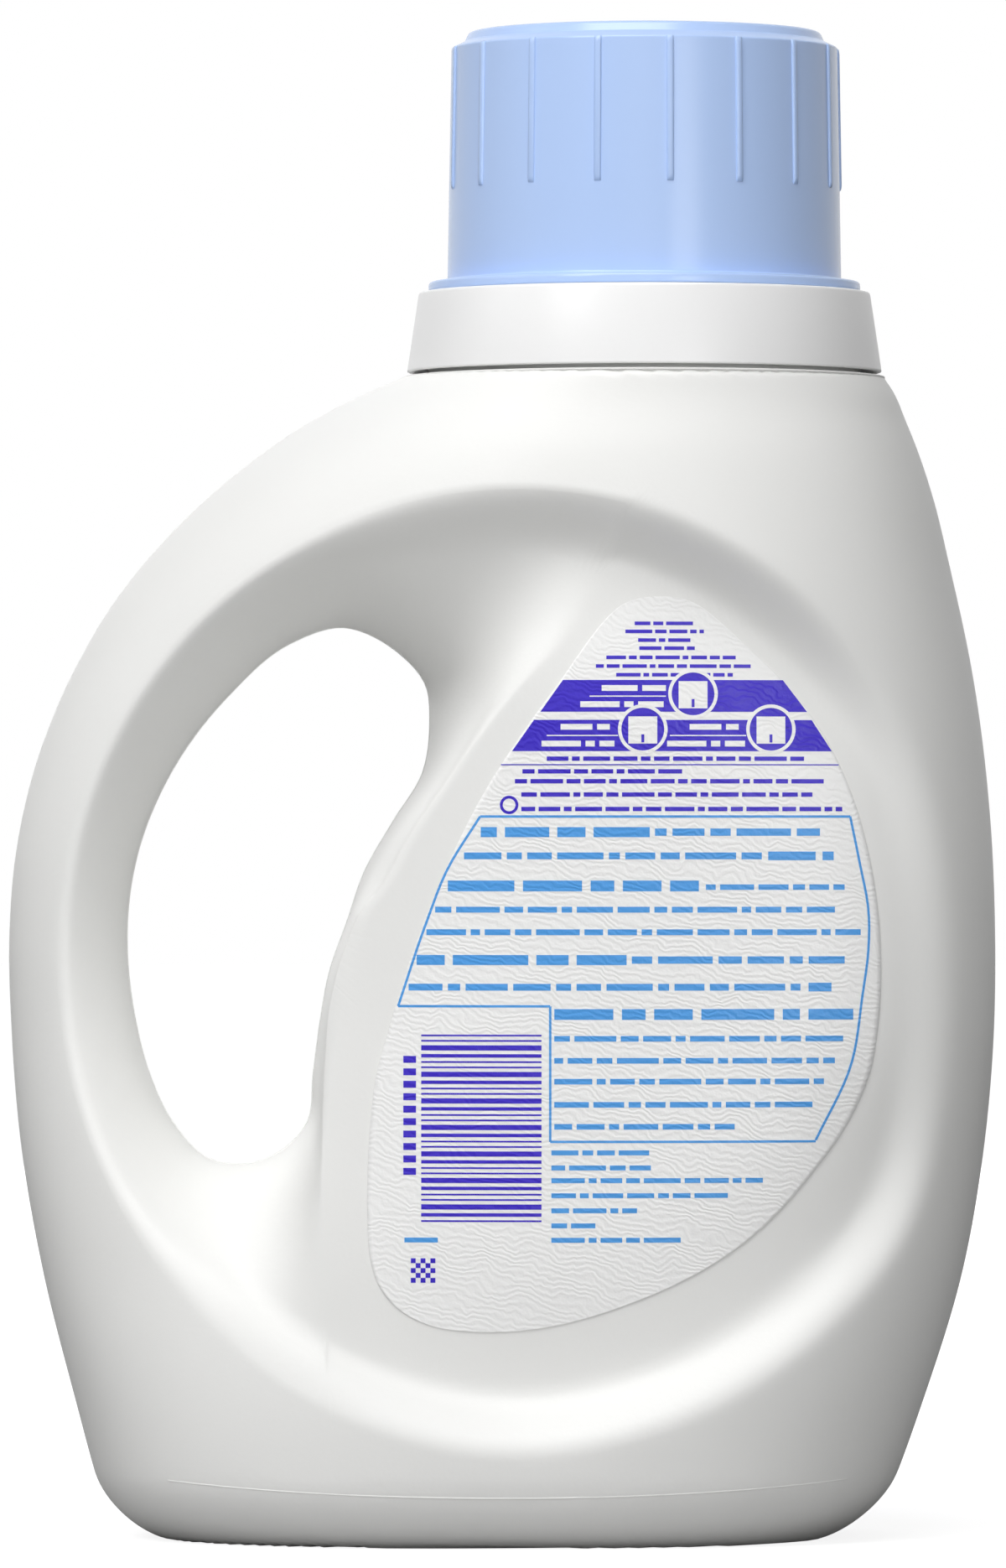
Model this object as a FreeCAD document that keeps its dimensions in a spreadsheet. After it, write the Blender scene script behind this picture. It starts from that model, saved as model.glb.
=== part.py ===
import FreeCAD, Part
import Sketcher
import math
import os

# A laundry detergent bottle: blow-moulded body with a through handle, a pouring collar pressed on
# its neck, a measuring cup screwed in as the closure, and a film label on each broad face.
# Frame: Z up, origin under the middle of the overall width, on the standing face. Y = 0 is the
# mould's parting plane, the handle is at -X and the pouring side at +X.

# Each row: name, size (millimetres, degrees or a count), what it is.
SIZES = [
    ("body_width", 173.8, "overall width of the body, handle to far side"),
    ("body_depth", 100.0, "depth of the body's envelope, before the recesses are sunk in it"),
    ("shoulder_height", 204.4, "height of the flat shoulder under the collar"),
    ("shoulder_radius", 42.2, "radius of the round section at the shoulder"),
    ("base_radius", 12.0, "rounding from the sides into the base"),
    ("wall", 0.9, "wall of the blown body"),
    ("push_up", 3.2, "height of the dome pushed up into the base"),
    ("push_length", 88.0, "length of the dome in the base"),
    ("push_width", 54.0, "width of the dome in the base"),
    ("grip_width", 53.7, "width of the hole for the hand"),
    ("grip_height", 94.7, "height of the hole for the hand"),
    ("grip_offset", 39.4, "the hole's middle, from the body's middle"),
    ("grip_level", 112.9, "height of the hole's middle"),
    ("grip_land", 1.6, "least width of wall between the hole's edge and the ridge"),
    ("recess_radius", 83.0, "radius of the round recess for the panel"),
    ("recess_level", 100.0, "height of the recess's middle"),
    ("recess_step", 7.0, "depth of the step round the recess"),
    ("recess_band", 11.5, "width of the sloping band round the recess"),
    ("panel_depth", 43.0, "half depth of the body at the middle of the panel"),
    ("panel_bow", 330.0, "radius of the panel's slight bow across"),
    ("neck_offset", 25.1, "the neck's axis, from the body's middle"),
    ("neck_radius", 38.1, "outer radius of the bottle's neck"),
    ("neck_wall", 1.1, "wall of the neck"),
    ("bead_height", 1.6, "height of the bead that the collar snaps over"),
    ("bead_reach", 0.7, "how far the bead stands out from the neck"),
    ("bead_level", 4.4, "the bead's lower edge above the shoulder"),
    ("skirt_gap", 0.8, "gap between the shoulder and the collar's skirt"),
    ("collar_height", 14.1, "height of the collar's skirt"),
    ("skirt_radius", 41.9, "outer radius of the skirt at its foot"),
    ("collar_radius", 39.8, "outer radius of the collar at its top"),
    ("skirt_wall", 1.4, "wall of the skirt"),
    ("rim_wall", 1.6, "thickness of the collar's flat rim"),
    ("neck_clearance", 0.3, "gap between the neck's top and the collar's rim"),
    ("socket_radius", 35.7, "inner radius of the collar where the cup goes in"),
    ("socket_wall", 1.1, "wall of the socket"),
    ("socket_depth", 17.0, "depth of the socket, rim to floor"),
    ("floor_fall", 2.5, "fall of the drain floor towards the spout"),
    ("spout_radius", 18.0, "outer radius of the spout at its foot"),
    ("spout_tip_radius", 16.4, "outer radius of the spout at its lip"),
    ("spout_wall", 1.3, "wall of the spout and the drain floor"),
    ("spout_height", 24.0, "height of the spout's lip above the collar's rim"),
    ("spout_fall", 17.0, "how much lower the spout's back is than its lip"),
    ("drain_width", 7.0, "width of the drain slot in the spout's back"),
    ("drain_reach", 4.0, "how far the drain slot runs into the floor"),
    ("seat_gap", 0.1, "gap between the collar's rim and the cup's flange"),
    ("flange_radius", 38.1, "outer radius of the cup's flange"),
    ("flange_height", 1.9, "thickness of the cup's flange"),
    ("flange_bevel", 0.9, "bevel on the flange's upper edge"),
    ("mouth_radius", 34.5, "outer radius of the cup's mouth, inside the collar"),
    ("mouth_depth", 13.5, "how far the cup's mouth goes down into the collar"),
    ("cup_wall", 1.6, "wall of the cup"),
    ("cup_radius", 34.8, "outer radius of the cup just above its flange"),
    ("cup_top_radius", 34.05, "outer radius of the cup at its shoulder"),
    ("cup_height", 41.5, "height of the cup's wall above the flange"),
    ("cup_edge", 0.7, "bevel at the top of the cup's wall"),
    ("disc_radius", 31.4, "radius of the raised end disc"),
    ("disc_rise", 2.4, "how far the end disc stands above the wall"),
    ("disc_edge", 1.3, "rounding of the end disc, as a bevel"),
    ("rib_count", 17, "number of grip ribs round the cup"),
    ("rib_length", 24.6, "length of a grip rib"),
    ("rib_width", 1.2, "width of a grip rib"),
    ("rib_reach", 0.4, "how far a grip rib stands out"),
    ("rib_phase", 6.8, "turn of the first grip rib from the middle of the front, in degrees"),
    ("label_film", 0.15, "thickness of a label"),
    ("label_lift", 0.25, "gap between a label and the panel"),
    ("label_height", 127.2, "height of a label"),
    ("label_width", 89.0, "width of a label"),
    ("label_offset", 21.2, "the label's middle, from the body's middle"),
    ("label_level", 101.3, "height of the label's middle"),
]

doc = FreeCAD.newDocument("laundry_detergent_bottle")
sheet = doc.addObject("Spreadsheet::Sheet", "Sizes")
for line, (alias, amount, meaning) in enumerate(SIZES, start=1):
    sheet.set(f"A{line}", alias)
    sheet.set(f"B{line}", str(amount))
    sheet.set(f"C{line}", meaning)
    sheet.setAlias(f"B{line}", alias)
doc.recompute()


def size(alias):
    """A driving size, read from the sheet."""
    return float(sheet.get(alias))


HALF_WIDTH = size("body_width") / 2
HALF_DEPTH = size("body_depth") / 2
SHOULDER = size("shoulder_height")
NECK_X = size("neck_offset")
GRIP_X = -size("grip_offset")
GRIP_Z = size("grip_level")


# Curves through points

class Curve:
    """A smooth curve through (place, value) points, level beyond its ends."""

    def __init__(self, points):
        self.at = [place for place, value in points]
        self.value = [value for place, value in points]
        rise = [(self.value[i + 1] - self.value[i]) / (self.at[i + 1] - self.at[i])
                for i in range(len(points) - 1)]
        self.slope = [rise[0]]
        for i in range(1, len(points) - 1):
            before = self.at[i] - self.at[i - 1]
            after = self.at[i + 1] - self.at[i]
            self.slope.append((rise[i - 1] * after + rise[i] * before) / (before + after))
        self.slope.append(rise[-1])

    def __call__(self, place):
        place = min(max(place, self.at[0]), self.at[-1])
        i = 0
        while i < len(self.at) - 2 and place > self.at[i + 1]:
            i += 1
        span = self.at[i + 1] - self.at[i]
        part = (place - self.at[i]) / span
        start = (1 + 2 * part) * (1 - part) ** 2 * self.value[i]
        end = part ** 2 * (3 - 2 * part) * self.value[i + 1]
        leave = part * (1 - part) ** 2 * span * self.slope[i]
        arrive = part ** 2 * (part - 1) * span * self.slope[i + 1]
        return start + end + leave + arrive


def round_curve(points):
    """A curve over 0 to 360 degrees that joins up with itself."""
    before = [(angle - 360, value) for angle, value in points[-2:]]
    after = [(angle + 360, value) for angle, value in points[:2]]
    return Curve(before + points + after)


def trace(points, count, closed):
    """Evenly numbered points along a smooth curve through (x, z) points."""
    chain = points[-2:] + points + points[:3] if closed else points
    run = [0.0]
    for (ax, az), (bx, bz) in zip(chain, chain[1:]):
        run.append(run[-1] + math.hypot(bx - ax, bz - az))
    across = Curve([(place, x) for place, (x, z) in zip(run, chain)])
    upward = Curve([(place, z) for place, (x, z) in zip(run, chain)])
    first, last = (run[2], run[2 + len(points)]) if closed else (0.0, run[-1])
    steps = count if closed else count - 1
    places = [first + (last - first) * i / steps for i in range(count)]
    return [(across(place), upward(place)) for place in places]


def smooth(part):
    """0 to 1 with level ends."""
    part = min(max(part, 0.0), 1.0)
    return part * part * (3 - 2 * part)


def soft_least(first, second, reach):
    """The lesser of two heights, rounded where they cross."""
    share = min(max(0.5 + 0.5 * (second - first) / reach, 0.0), 1.0)
    return second + (first - second) * share - reach * share * (1 - share)


# The body's envelope. Heights are shares of the shoulder's height, side places are shares of half
# the width, and the last two places run into the round section under the neck.

LEFT_SIDE = [(-0.07, 0.77), (0.0, 0.787), (0.05, 0.823), (0.116, 0.865), (0.225, 0.93), (0.333, 0.975),
             (0.44, 0.996), (0.519, 1.0), (0.594, 0.985), (0.68, 0.935), (0.747, 0.868),
             (0.812, 0.776), (0.877, 0.643), (0.92, 0.528), (0.964, 0.376)]
RIGHT_SIDE = [(-0.07, 0.72), (0.0, 0.747), (0.05, 0.797), (0.116, 0.853), (0.225, 0.932), (0.333, 0.977),
              (0.42, 0.996), (0.528, 1.0), (0.616, 0.991), (0.747, 0.953), (0.833, 0.91),
              (0.899, 0.872), (0.942, 0.838), (0.964, 0.817)]
DEPTHS = [(-0.07, 0.915), (0.0, 0.93), (0.058, 0.958), (0.122, 0.985), (0.294, 1.0), (0.538, 1.0),
          (0.734, 0.992), (0.856, 0.967), (0.93, 0.919), (0.978, 0.861)]
# Where the section is deepest, as a share of half the width
CRESTS = [(-0.07, 0.0), (0.05, 0.02), (0.245, 0.14), (0.49, 0.23), (0.734, 0.253), (0.93, 0.276)]
# Fullness of the section's two ends: 2 is an ellipse, less is leaner, more is squarer
LEFT_FULLNESS = Curve([(-0.07, 2.4), (0.07, 2.3), (0.245, 1.9), (0.44, 1.6), (0.636, 1.6),
                       (0.807, 1.7), (0.93, 1.9), (1.0, 2.0)])
RIGHT_FULLNESS = Curve([(-0.07, 2.4), (0.07, 2.4), (0.294, 2.35), (0.587, 2.3), (0.832, 2.15), (1.0, 2.0)])
OVERRUN = 13.5              # the form runs on past the shoulder and the base, and is trimmed flat
FOOT_STEEPNESS = 1.05       # makes the rounding cross the standing face at a clear angle


def with_neck(points, sign, last):
    """Side places in millimetres, ending in the round section at the shoulder."""
    radius = size("shoulder_radius")
    places = [(share, sign * value * HALF_WIDTH) for share, value in points]
    return Curve(places + [(0.985, NECK_X + sign * last * radius), (1.0, NECK_X + sign * radius)])


left_side = with_neck(LEFT_SIDE, -1, 1.17)
right_side = with_neck(RIGHT_SIDE, 1, 1.045)
depth_at = Curve([(share, value * HALF_DEPTH) for share, value in DEPTHS] + [(1.0, size("shoulder_radius"))])
crest_at = Curve([(share, value * HALF_WIDTH) for share, value in CRESTS] + [(1.0, NECK_X)])


def foot_inset(z):
    """How far the sides have drawn in at height z, near the base."""
    radius = size("base_radius")
    if z >= radius:
        return 0.0
    reach = radius * FOOT_STEEPNESS
    lean = (radius - max(z, 0.0)) / reach
    inset = radius * (1 - math.sqrt(1 - lean ** 2))
    steepness = radius / reach * lean / math.sqrt(1 - lean ** 2)
    return inset + steepness * max(-z, 0.0)


def section(z):
    """Left end, right end, crest and half depth of the body at height z."""
    share = z / SHOULDER
    if z > SHOULDER:
        above = min((z - SHOULDER) / OVERRUN, 1.0)
        radius = size("shoulder_radius") * math.sqrt(1 - above ** 2)
        return NECK_X - radius, NECK_X + radius, NECK_X, radius
    inset = foot_inset(z)
    return (left_side(share) + inset, right_side(share) - inset, crest_at(share), depth_at(share) - inset)


def envelope(x, z):
    """Half depth of the body's plain outside, without recess and grip."""
    left, right, crest, depth = section(z)
    if depth <= 0 or not left < x < right:
        return 0.0
    share = z / SHOULDER
    if x < crest:
        part = (crest - x) / (crest - left)
        fullness = LEFT_FULLNESS(share)
    else:
        part = (x - crest) / (right - crest)
        fullness = RIGHT_FULLNESS(share)
    return depth * (1 - part ** fullness) ** (1 / fullness)


# The recess round the panel: a circle that is eased out of round, with a step whose depth fades
# at the handle and at the far side. Angles are degrees from +X.

RECESS_EASE = round_curve([(0, 0.965), (10, 0.97), (30, 1.0), (42, 1.012), (73, 1.024), (90, 1.02),
                           (117, 1.005), (150, 0.982), (180, 0.958), (225, 0.97), (255, 0.994),
                           (270, 1.01), (290, 1.012), (312, 1.018), (328, 1.024), (345, 0.98)])
STEP_SHARE = round_curve([(0, 0.45), (25, 0.65), (45, 1.0), (90, 1.0), (112, 0.45), (180, 0.3),
                          (240, 0.35), (258, 0.93), (300, 1.05), (330, 0.85), (348, 0.5)])
MIDDLE_STEP = 4.0           # step left under the middle of the panel, where all directions meet
MIDDLE_FADE = 30.0          # distance over which the step's depth evens out
PANEL_RISE = 14.0           # keeps the panel's plane clear of the body outside the recess
PANEL_CREST = 12.0          # where the bowed panel stands highest, from the body's middle
SOFT_JOIN = 5.0             # rounding where the panel meets the band


def recess_polar(x, z):
    """Angle in degrees and distance from the recess's middle."""
    up = z - size("recess_level")
    return math.degrees(math.atan2(up, x)) % 360, math.hypot(x, up)


def recess_point(angle, inset):
    """A point on the recess's edge, drawn in by inset."""
    radius = size("recess_radius") * RECESS_EASE(angle) - inset
    turn = math.radians(angle)
    return radius * math.cos(turn), size("recess_level") + radius * math.sin(turn)


def panelled(x, z):
    """Half depth with the recess and its panel, without the grip."""
    outside = envelope(x, z)
    angle, distance = recess_polar(x, z)
    band = size("recess_band")
    inside = size("recess_radius") * RECESS_EASE(angle) - distance
    near = 1 - smooth((inside - band) / MIDDLE_FADE)
    step = size("recess_step") * STEP_SHARE(angle) * near + MIDDLE_STEP * (1 - near)
    edge = smooth(inside / band)
    bow = (x - PANEL_CREST) ** 2 / (2 * size("panel_bow"))
    panel = size("panel_depth") - bow + PANEL_RISE * (1 - edge)
    return soft_least(outside - step * edge, panel, SOFT_JOIN)


# The grip: a hole for the hand, and a hollow that falls to it from a ridge. The hole's edge lies
# on the parting plane. Hole points are shares of its half width and half height; ridge points,
# which bound the panel, are shares of the recess's radius.

HOLE_SHAPE = [(0.426, 1.001), (0.762, 0.917), (0.97, 0.78), (0.993, 0.645), (0.949, 0.463),
              (0.751, 0.276), (0.563, 0.088), (0.448, -0.099), (0.332, -0.287), (0.271, -0.474),
              (0.227, -0.662), (0.183, -0.849), (0.034, -0.943), (-0.208, -0.999), (-0.456, -0.981),
              (-0.693, -0.849), (-0.853, -0.662), (-0.941, -0.474), (-1.0, -0.18), (-0.985, -0.005),
              (-0.919, 0.182), (-0.793, 0.37), (-0.605, 0.557), (-0.335, 0.745), (0.07, 0.94)]
RIDGE_SHAPE = [(0.238, 0.88), (0.129, 0.681), (0.054, 0.606), (-0.033, 0.504), (-0.121, 0.385),
               (-0.196, 0.277), (-0.252, 0.176), (-0.299, 0.12), (-0.337, 0.024), (-0.36, -0.072),
               (-0.369, -0.177), (-0.374, -0.422), (-0.372, -0.555), (-0.365, -0.841)]
RIDGE_INSET = 1.5           # the ridge runs this far inside the recess's edge
LIP_SHARE = 0.10            # share of the hollow's width that rounds into the hole's edge
RIDGE_SHARE = 0.18          # share of the hollow's width that rounds into the ridge
HOLE_POINTS = 72
ARC_POINTS = 48
RIDGE_POINTS = 36
STAR_X = -42.8 / 39.4       # middle that sees the whole hole, as a share of the hole's offset
STAR_Z = 111.2 / 112.9      # and of its level

star_x = STAR_X * size("grip_offset")
star_z = STAR_Z * GRIP_Z
hole_edge = trace([(GRIP_X + x * size("grip_width") / 2, GRIP_Z + z * size("grip_height") / 2)
                   for x, z in HOLE_SHAPE], HOLE_POINTS, True)


def polar_table(loop):
    """(angle, distance) pairs of a loop about the star point, in order of angle."""
    pairs = [(math.atan2(z - star_z, x - star_x) % math.tau, math.hypot(x - star_x, z - star_z))
             for x, z in loop]
    pairs.sort()
    return [(pairs[-1][0] - math.tau, pairs[-1][1])] + pairs + [(pairs[0][0] + math.tau, pairs[0][1])]


def reach(table, angle):
    """Distance to a loop in one direction."""
    angle %= math.tau
    low, high = 0, len(table) - 1
    while high - low > 1:
        middle = (low + high) // 2
        if table[middle][0] <= angle:
            low = middle
        else:
            high = middle
    (start, near), (end, far) = table[low], table[high]
    return near + (far - near) * (angle - start) / (end - start)


hole_table = polar_table(hole_edge)


def ridge_loop():
    """The closed ridge round the grip: the recess's edge at the handle, the panel's edge beyond."""
    scale = size("recess_radius")
    crease = trace([(x * scale, size("recess_level") + z * scale) for x, z in RIDGE_SHAPE],
                   RIDGE_POINTS, False)
    first = recess_polar(*crease[0])[0]
    last = recess_polar(*crease[-1])[0]
    arc = [recess_point(first + (last - first) * i / (ARC_POINTS - 1), RIDGE_INSET)
           for i in range(ARC_POINTS)]
    loop = []
    for x, z in arc + crease[::-1]:
        angle = math.atan2(z - star_z, x - star_x)
        distance = math.hypot(x - star_x, z - star_z)
        distance = max(distance, reach(hole_table, angle) + size("grip_land"))
        loop.append((star_x + distance * math.cos(angle), star_z + distance * math.sin(angle)))
    return loop


ridge = ridge_loop()
ridge_table = polar_table(ridge)
NEARLY_ON = 1e-4            # keeps the pull of a segment finite for a point in line with it


def pull(loop, x, z):
    """How strongly a loop pulls on a point: each bit of its length by the inverse square distance."""
    total = 0.0
    ax, az = loop[-1]
    for bx, bz in loop:
        length = math.hypot(bx - ax, bz - az)
        dx, dz = (bx - ax) / length, (bz - az) / length
        start = (ax - x) * dx + (az - z) * dz
        off = max(abs((x - ax) * dz - (z - az) * dx), NEARLY_ON)
        total += (math.atan((start + length) / off) - math.atan(start / off)) / off
        ax, az = bx, bz
    return total


def half_depth(x, z):
    """Half depth of the finished body: the panelled form, falling to nothing at the hole's edge."""
    angle = math.atan2(z - star_z, x - star_x)
    distance = math.hypot(x - star_x, z - star_z)
    height = panelled(x, z)
    if distance >= reach(ridge_table, angle):
        return height
    to_ridge = pull(ridge, x, z)
    share = to_ridge / (to_ridge + pull(hole_edge, x, z))
    share = math.sqrt(share ** 2 + 2 * LIP_SHARE * share) / math.sqrt(1 + 2 * LIP_SHARE)
    if share > 1 - RIDGE_SHARE:
        share = 1 - RIDGE_SHARE / 2 - (1 - share) ** 2 / (2 * RIDGE_SHARE)
    return height * share / (1 - RIDGE_SHARE / 2)


# The body's skin: a net of points on rays from the hole's edge, over the ridge, to the outline

RAY_COUNT = 120             # rays round the body
HOLLOW_ROWS = 8             # rows from the hole's edge to the ridge
PANEL_ROWS = 16             # rows from the ridge over the panel and the band
RIM_ROWS = 7                # rows that round over into the outline
RIM_REACH = 22.0            # width of the strip that those rows cover
TRIAL_RAYS = 720
EVENING_RAYS = 14           # crowding is evened out over this many trial rays each way
TRIAL_ROWS = 60
CORNER_WEIGHT = 24.0        # extra rays where the outline turns, millimetres for each radian
BAND_WEIGHT = 2.5           # extra rows across the recess's sloping band
LIP_CROWDING = 1.5
BISECTIONS = 40
FAR = 400.0


def is_inside(x, z):
    """Whether a point of the parting plane lies inside the body's outline."""
    if not -OVERRUN < z < SHOULDER + OVERRUN:
        return False
    left, right, crest, depth = section(z)
    return depth > 0 and left < x < right


def outline_reach(angle):
    """Distance from the star point to the body's outline in one direction."""
    near, far = 0.0, FAR
    for _ in range(BISECTIONS):
        middle = (near + far) / 2
        if is_inside(star_x + middle * math.cos(angle), star_z + middle * math.sin(angle)):
            near = middle
        else:
            far = middle
    return near


def evenly_spread(places, weights, count):
    """Places that share out the running total of the weights; weights lie between the places."""
    total = [0.0]
    for weight in weights:
        total.append(total[-1] + weight)
    chosen = []
    i = 0
    for number in range(count):
        wanted = total[-1] * number / count
        while total[i + 1] < wanted:
            i += 1
        share = (wanted - total[i]) / (total[i + 1] - total[i])
        chosen.append(places[i] + share * (places[i + 1] - places[i]))
    return chosen


def ray_angles():
    """Directions of the rays, crowded where the ridge or the outline is long or turns."""
    trial = [math.tau * i / TRIAL_RAYS for i in range(TRIAL_RAYS + 1)]
    inner = [(reach(ridge_table, a) * math.cos(a), reach(ridge_table, a) * math.sin(a)) for a in trial]
    outer = [(outline_reach(a) * math.cos(a), outline_reach(a) * math.sin(a)) for a in trial]
    heading = [math.atan2(bz - az, bx - ax) for (ax, az), (bx, bz) in zip(outer, outer[1:])]
    rough = []
    for i in range(TRIAL_RAYS):
        step = math.dist(inner[i], inner[i + 1]) + math.dist(outer[i], outer[i + 1])
        turn = abs((heading[i] - heading[i - 1] + math.pi) % math.tau - math.pi)
        rough.append(step + CORNER_WEIGHT * turn)
    window = range(-EVENING_RAYS, EVENING_RAYS + 1)
    even = [sum(rough[(i + k) % TRIAL_RAYS] for k in window) for i in range(TRIAL_RAYS)]
    return evenly_spread(trial, even, RAY_COUNT)


def outer_places(angle, crest, rim):
    """Places along a ray from the ridge to the outline, crowded across the recess's band."""
    band = size("recess_band")
    strip = min(RIM_REACH, (rim - crest) / 2)
    places = [crest + (rim - strip - crest) * i / TRIAL_ROWS for i in range(TRIAL_ROWS + 1)]
    weights = []
    for place in places[:-1]:
        turn, distance = recess_polar(star_x + place * math.cos(angle), star_z + place * math.sin(angle))
        inside = size("recess_radius") * RECESS_EASE(turn) - distance
        weights.append(1 + BAND_WEIGHT * smooth(1 - abs(inside - band / 2) / band))
    edge = [rim - strip * (1 - math.sin(math.pi / 2 * i / RIM_ROWS)) for i in range(RIM_ROWS + 1)]
    return evenly_spread(places, weights, PANEL_ROWS) + edge


def skin_net():
    """Rows of points on the half skin at +Y, one row for each ray, hole edge first."""
    net = []
    for angle in ray_angles():
        hole, crest, rim = reach(hole_table, angle), reach(ridge_table, angle), outline_reach(angle)
        places = [hole + (crest - hole) * (i / HOLLOW_ROWS) ** LIP_CROWDING for i in range(HOLLOW_ROWS)]
        places += outer_places(angle, crest, rim)
        row = []
        for i, place in enumerate(places):
            x = star_x + place * math.cos(angle)
            z = star_z + place * math.sin(angle)
            on_edge = i in (0, len(places) - 1)
            row.append(FreeCAD.Vector(x, 0.0 if on_edge else half_depth(x, z), z))
        net.append(row)
    return net


def mirrored(point):
    """The point's image on the other side of the parting plane."""
    return FreeCAD.Vector(point.x, -point.y, point.z)


def drawn_in(net, distance):
    """The net moved into the body by a distance, square to the skin."""
    moved = []
    for i, row in enumerate(net):
        before, after = net[i - 1], net[(i + 1) % len(net)]
        new_row = []
        for j, point in enumerate(row):
            inner = row[j - 1] if j > 0 else mirrored(row[1])
            outer = row[j + 1] if j < len(row) - 1 else mirrored(row[-2])
            outward = (after[j] - before[j]).cross(outer - inner).normalize()
            new_row.append(point - outward * distance)
        moved.append(new_row)
    return moved


def half_skin(net):
    """One smooth surface over a net: closed round the rays, ending on the parting plane."""
    rows, columns = len(net), len(net[0])
    surface = Part.BSplineSurface()
    surface.buildFromPolesMultsKnots(
        net, [1] * (rows + 1), [4] + [1] * (columns - 4) + [4],
        [float(i) for i in range(rows + 1)], [float(i) for i in range(columns - 2)], True, False, 3, 3)
    return surface


def solid_within(faces):
    """The solid that a closed set of faces bounds."""
    shell = Part.Shell(faces)
    shell.sewShape()
    solid = Part.Solid(shell)
    if solid.Volume < 0:
        solid.reverse()
    return solid


def closed_form(net):
    """The solid between a net and its image."""
    image = [[mirrored(point) for point in row] for row in net]
    return solid_within([half_skin(net).toShape(), half_skin(image).toShape()])


def shape_feature(name, shape):
    """A document object holding a shape made above."""
    feature = doc.addObject("Part::Feature", name)
    feature.Shape = shape
    return feature


def bound(kind, name, **expressions):
    """A document object whose properties are bound to expressions on the sheet."""
    feature = doc.addObject(kind, name)
    for prop, expression in expressions.items():
        feature.setExpression(prop.replace("__", "."), expression)
    return feature


def combined(kind, name, base, tool):
    """A boolean of two document objects."""
    feature = doc.addObject(kind, name)
    feature.Base = base
    feature.Tool = tool
    return feature


# Places that several pieces share, as expressions on the sheet

NECK_TOP = "(Sizes.shoulder_height + Sizes.skirt_gap + Sizes.collar_height - Sizes.rim_wall"
NECK_TOP += " - Sizes.neck_clearance)"
COLLAR_TOP = "(Sizes.shoulder_height + Sizes.skirt_gap + Sizes.collar_height)"
FLANGE_Z = f"({COLLAR_TOP} + Sizes.seat_gap)"


# The bottle

TRIM_MARGIN = 20.0          # the trimming boxes stand this far outside the body
outer_net = skin_net()


def trimmed(name, net, lower, upper):
    """The closed form of a net, cut flat at two heights."""
    form = shape_feature(name + "_form", closed_form(net))
    box = bound("Part::Box", name + "_trim",
                Length=f"Sizes.body_width + {2 * TRIM_MARGIN}", Width=f"Sizes.body_depth + {2 * TRIM_MARGIN}",
                Height=f"{upper} - {lower}", Placement__Base__x=f"-Sizes.body_width / 2 - {TRIM_MARGIN}",
                Placement__Base__y=f"-Sizes.body_depth / 2 - {TRIM_MARGIN}", Placement__Base__z=lower)
    return combined("Part::Common", name, form, box)


def neck_disc(name, radius, lower, upper):
    """A cylinder on the neck's axis."""
    return bound("Part::Cylinder", name, Radius=radius, Height=f"{upper} - {lower}",
                 Placement__Base__x="Sizes.neck_offset", Placement__Base__z=lower)


def base_dome(name, extra):
    """The dome pushed up into the base, grown by an expression."""
    dome = bound("Part::Ellipsoid", name, Radius1=f"Sizes.push_up + {extra}",
                 Radius2=f"Sizes.push_length / 2 + {extra}", Radius3=f"Sizes.push_width / 2 + {extra}")
    return dome


SHOULDER_INSIDE = "(Sizes.shoulder_height - Sizes.wall)"
FLAT = 1e-4                 # a face this close to one height all over is flat there

blown = trimmed("blown_outside", outer_net, "0", "Sizes.shoulder_height")
blown = combined("Part::Cut", "blown_over_dome", blown, base_dome("dome_outside", "0"))
neck = neck_disc("neck_tube", "Sizes.neck_radius", SHOULDER_INSIDE, NECK_TOP)
bead_low = "(Sizes.shoulder_height + Sizes.bead_level)"
bead = neck_disc("neck_bead", "Sizes.neck_radius + Sizes.bead_reach", bead_low, f"({bead_low} + Sizes.bead_height)")
blown = combined("Part::Fuse", "blown_and_neck", blown, combined("Part::Fuse", "neck_and_bead", neck, bead))
bore = neck_disc("neck_bore", "Sizes.neck_radius - Sizes.neck_wall", SHOULDER_INSIDE, f"{NECK_TOP} + Sizes.wall")
blown = combined("Part::Cut", "blown_with_bore", blown, bore)
hollow = trimmed("blown_inside", drawn_in(outer_net, size("wall"))[::2], "Sizes.wall", SHOULDER_INSIDE)
hollow = combined("Part::Cut", "hollow_over_dome", hollow, base_dome("dome_inside", "Sizes.wall"))
doc.recompute()


def opened(outside, inside):
    """The outside with the hollow in it. The bore's flat floor lies in the hollow's flat top, so the
    two skins are joined there, round the bore."""
    level = SHOULDER - size("wall")

    def is_flat_at_level(face):
        box = face.BoundBox
        return abs(box.ZMin - level) < FLAT and abs(box.ZMax - level) < FLAT

    floor = [face for face in outside.Faces if is_flat_at_level(face)]
    ceiling = [face for face in inside.Faces if is_flat_at_level(face)]
    rest = [face for face in outside.Faces if not is_flat_at_level(face)]
    lining = [face for face in inside.Faces if not is_flat_at_level(face)]
    ring = ceiling[0].cut(floor[0])
    return solid_within(rest + lining + ring.Faces)


bottle = shape_feature("bottle", opened(blown.Shape, hollow.Shape))


# Pieces turned about the neck's axis

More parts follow.
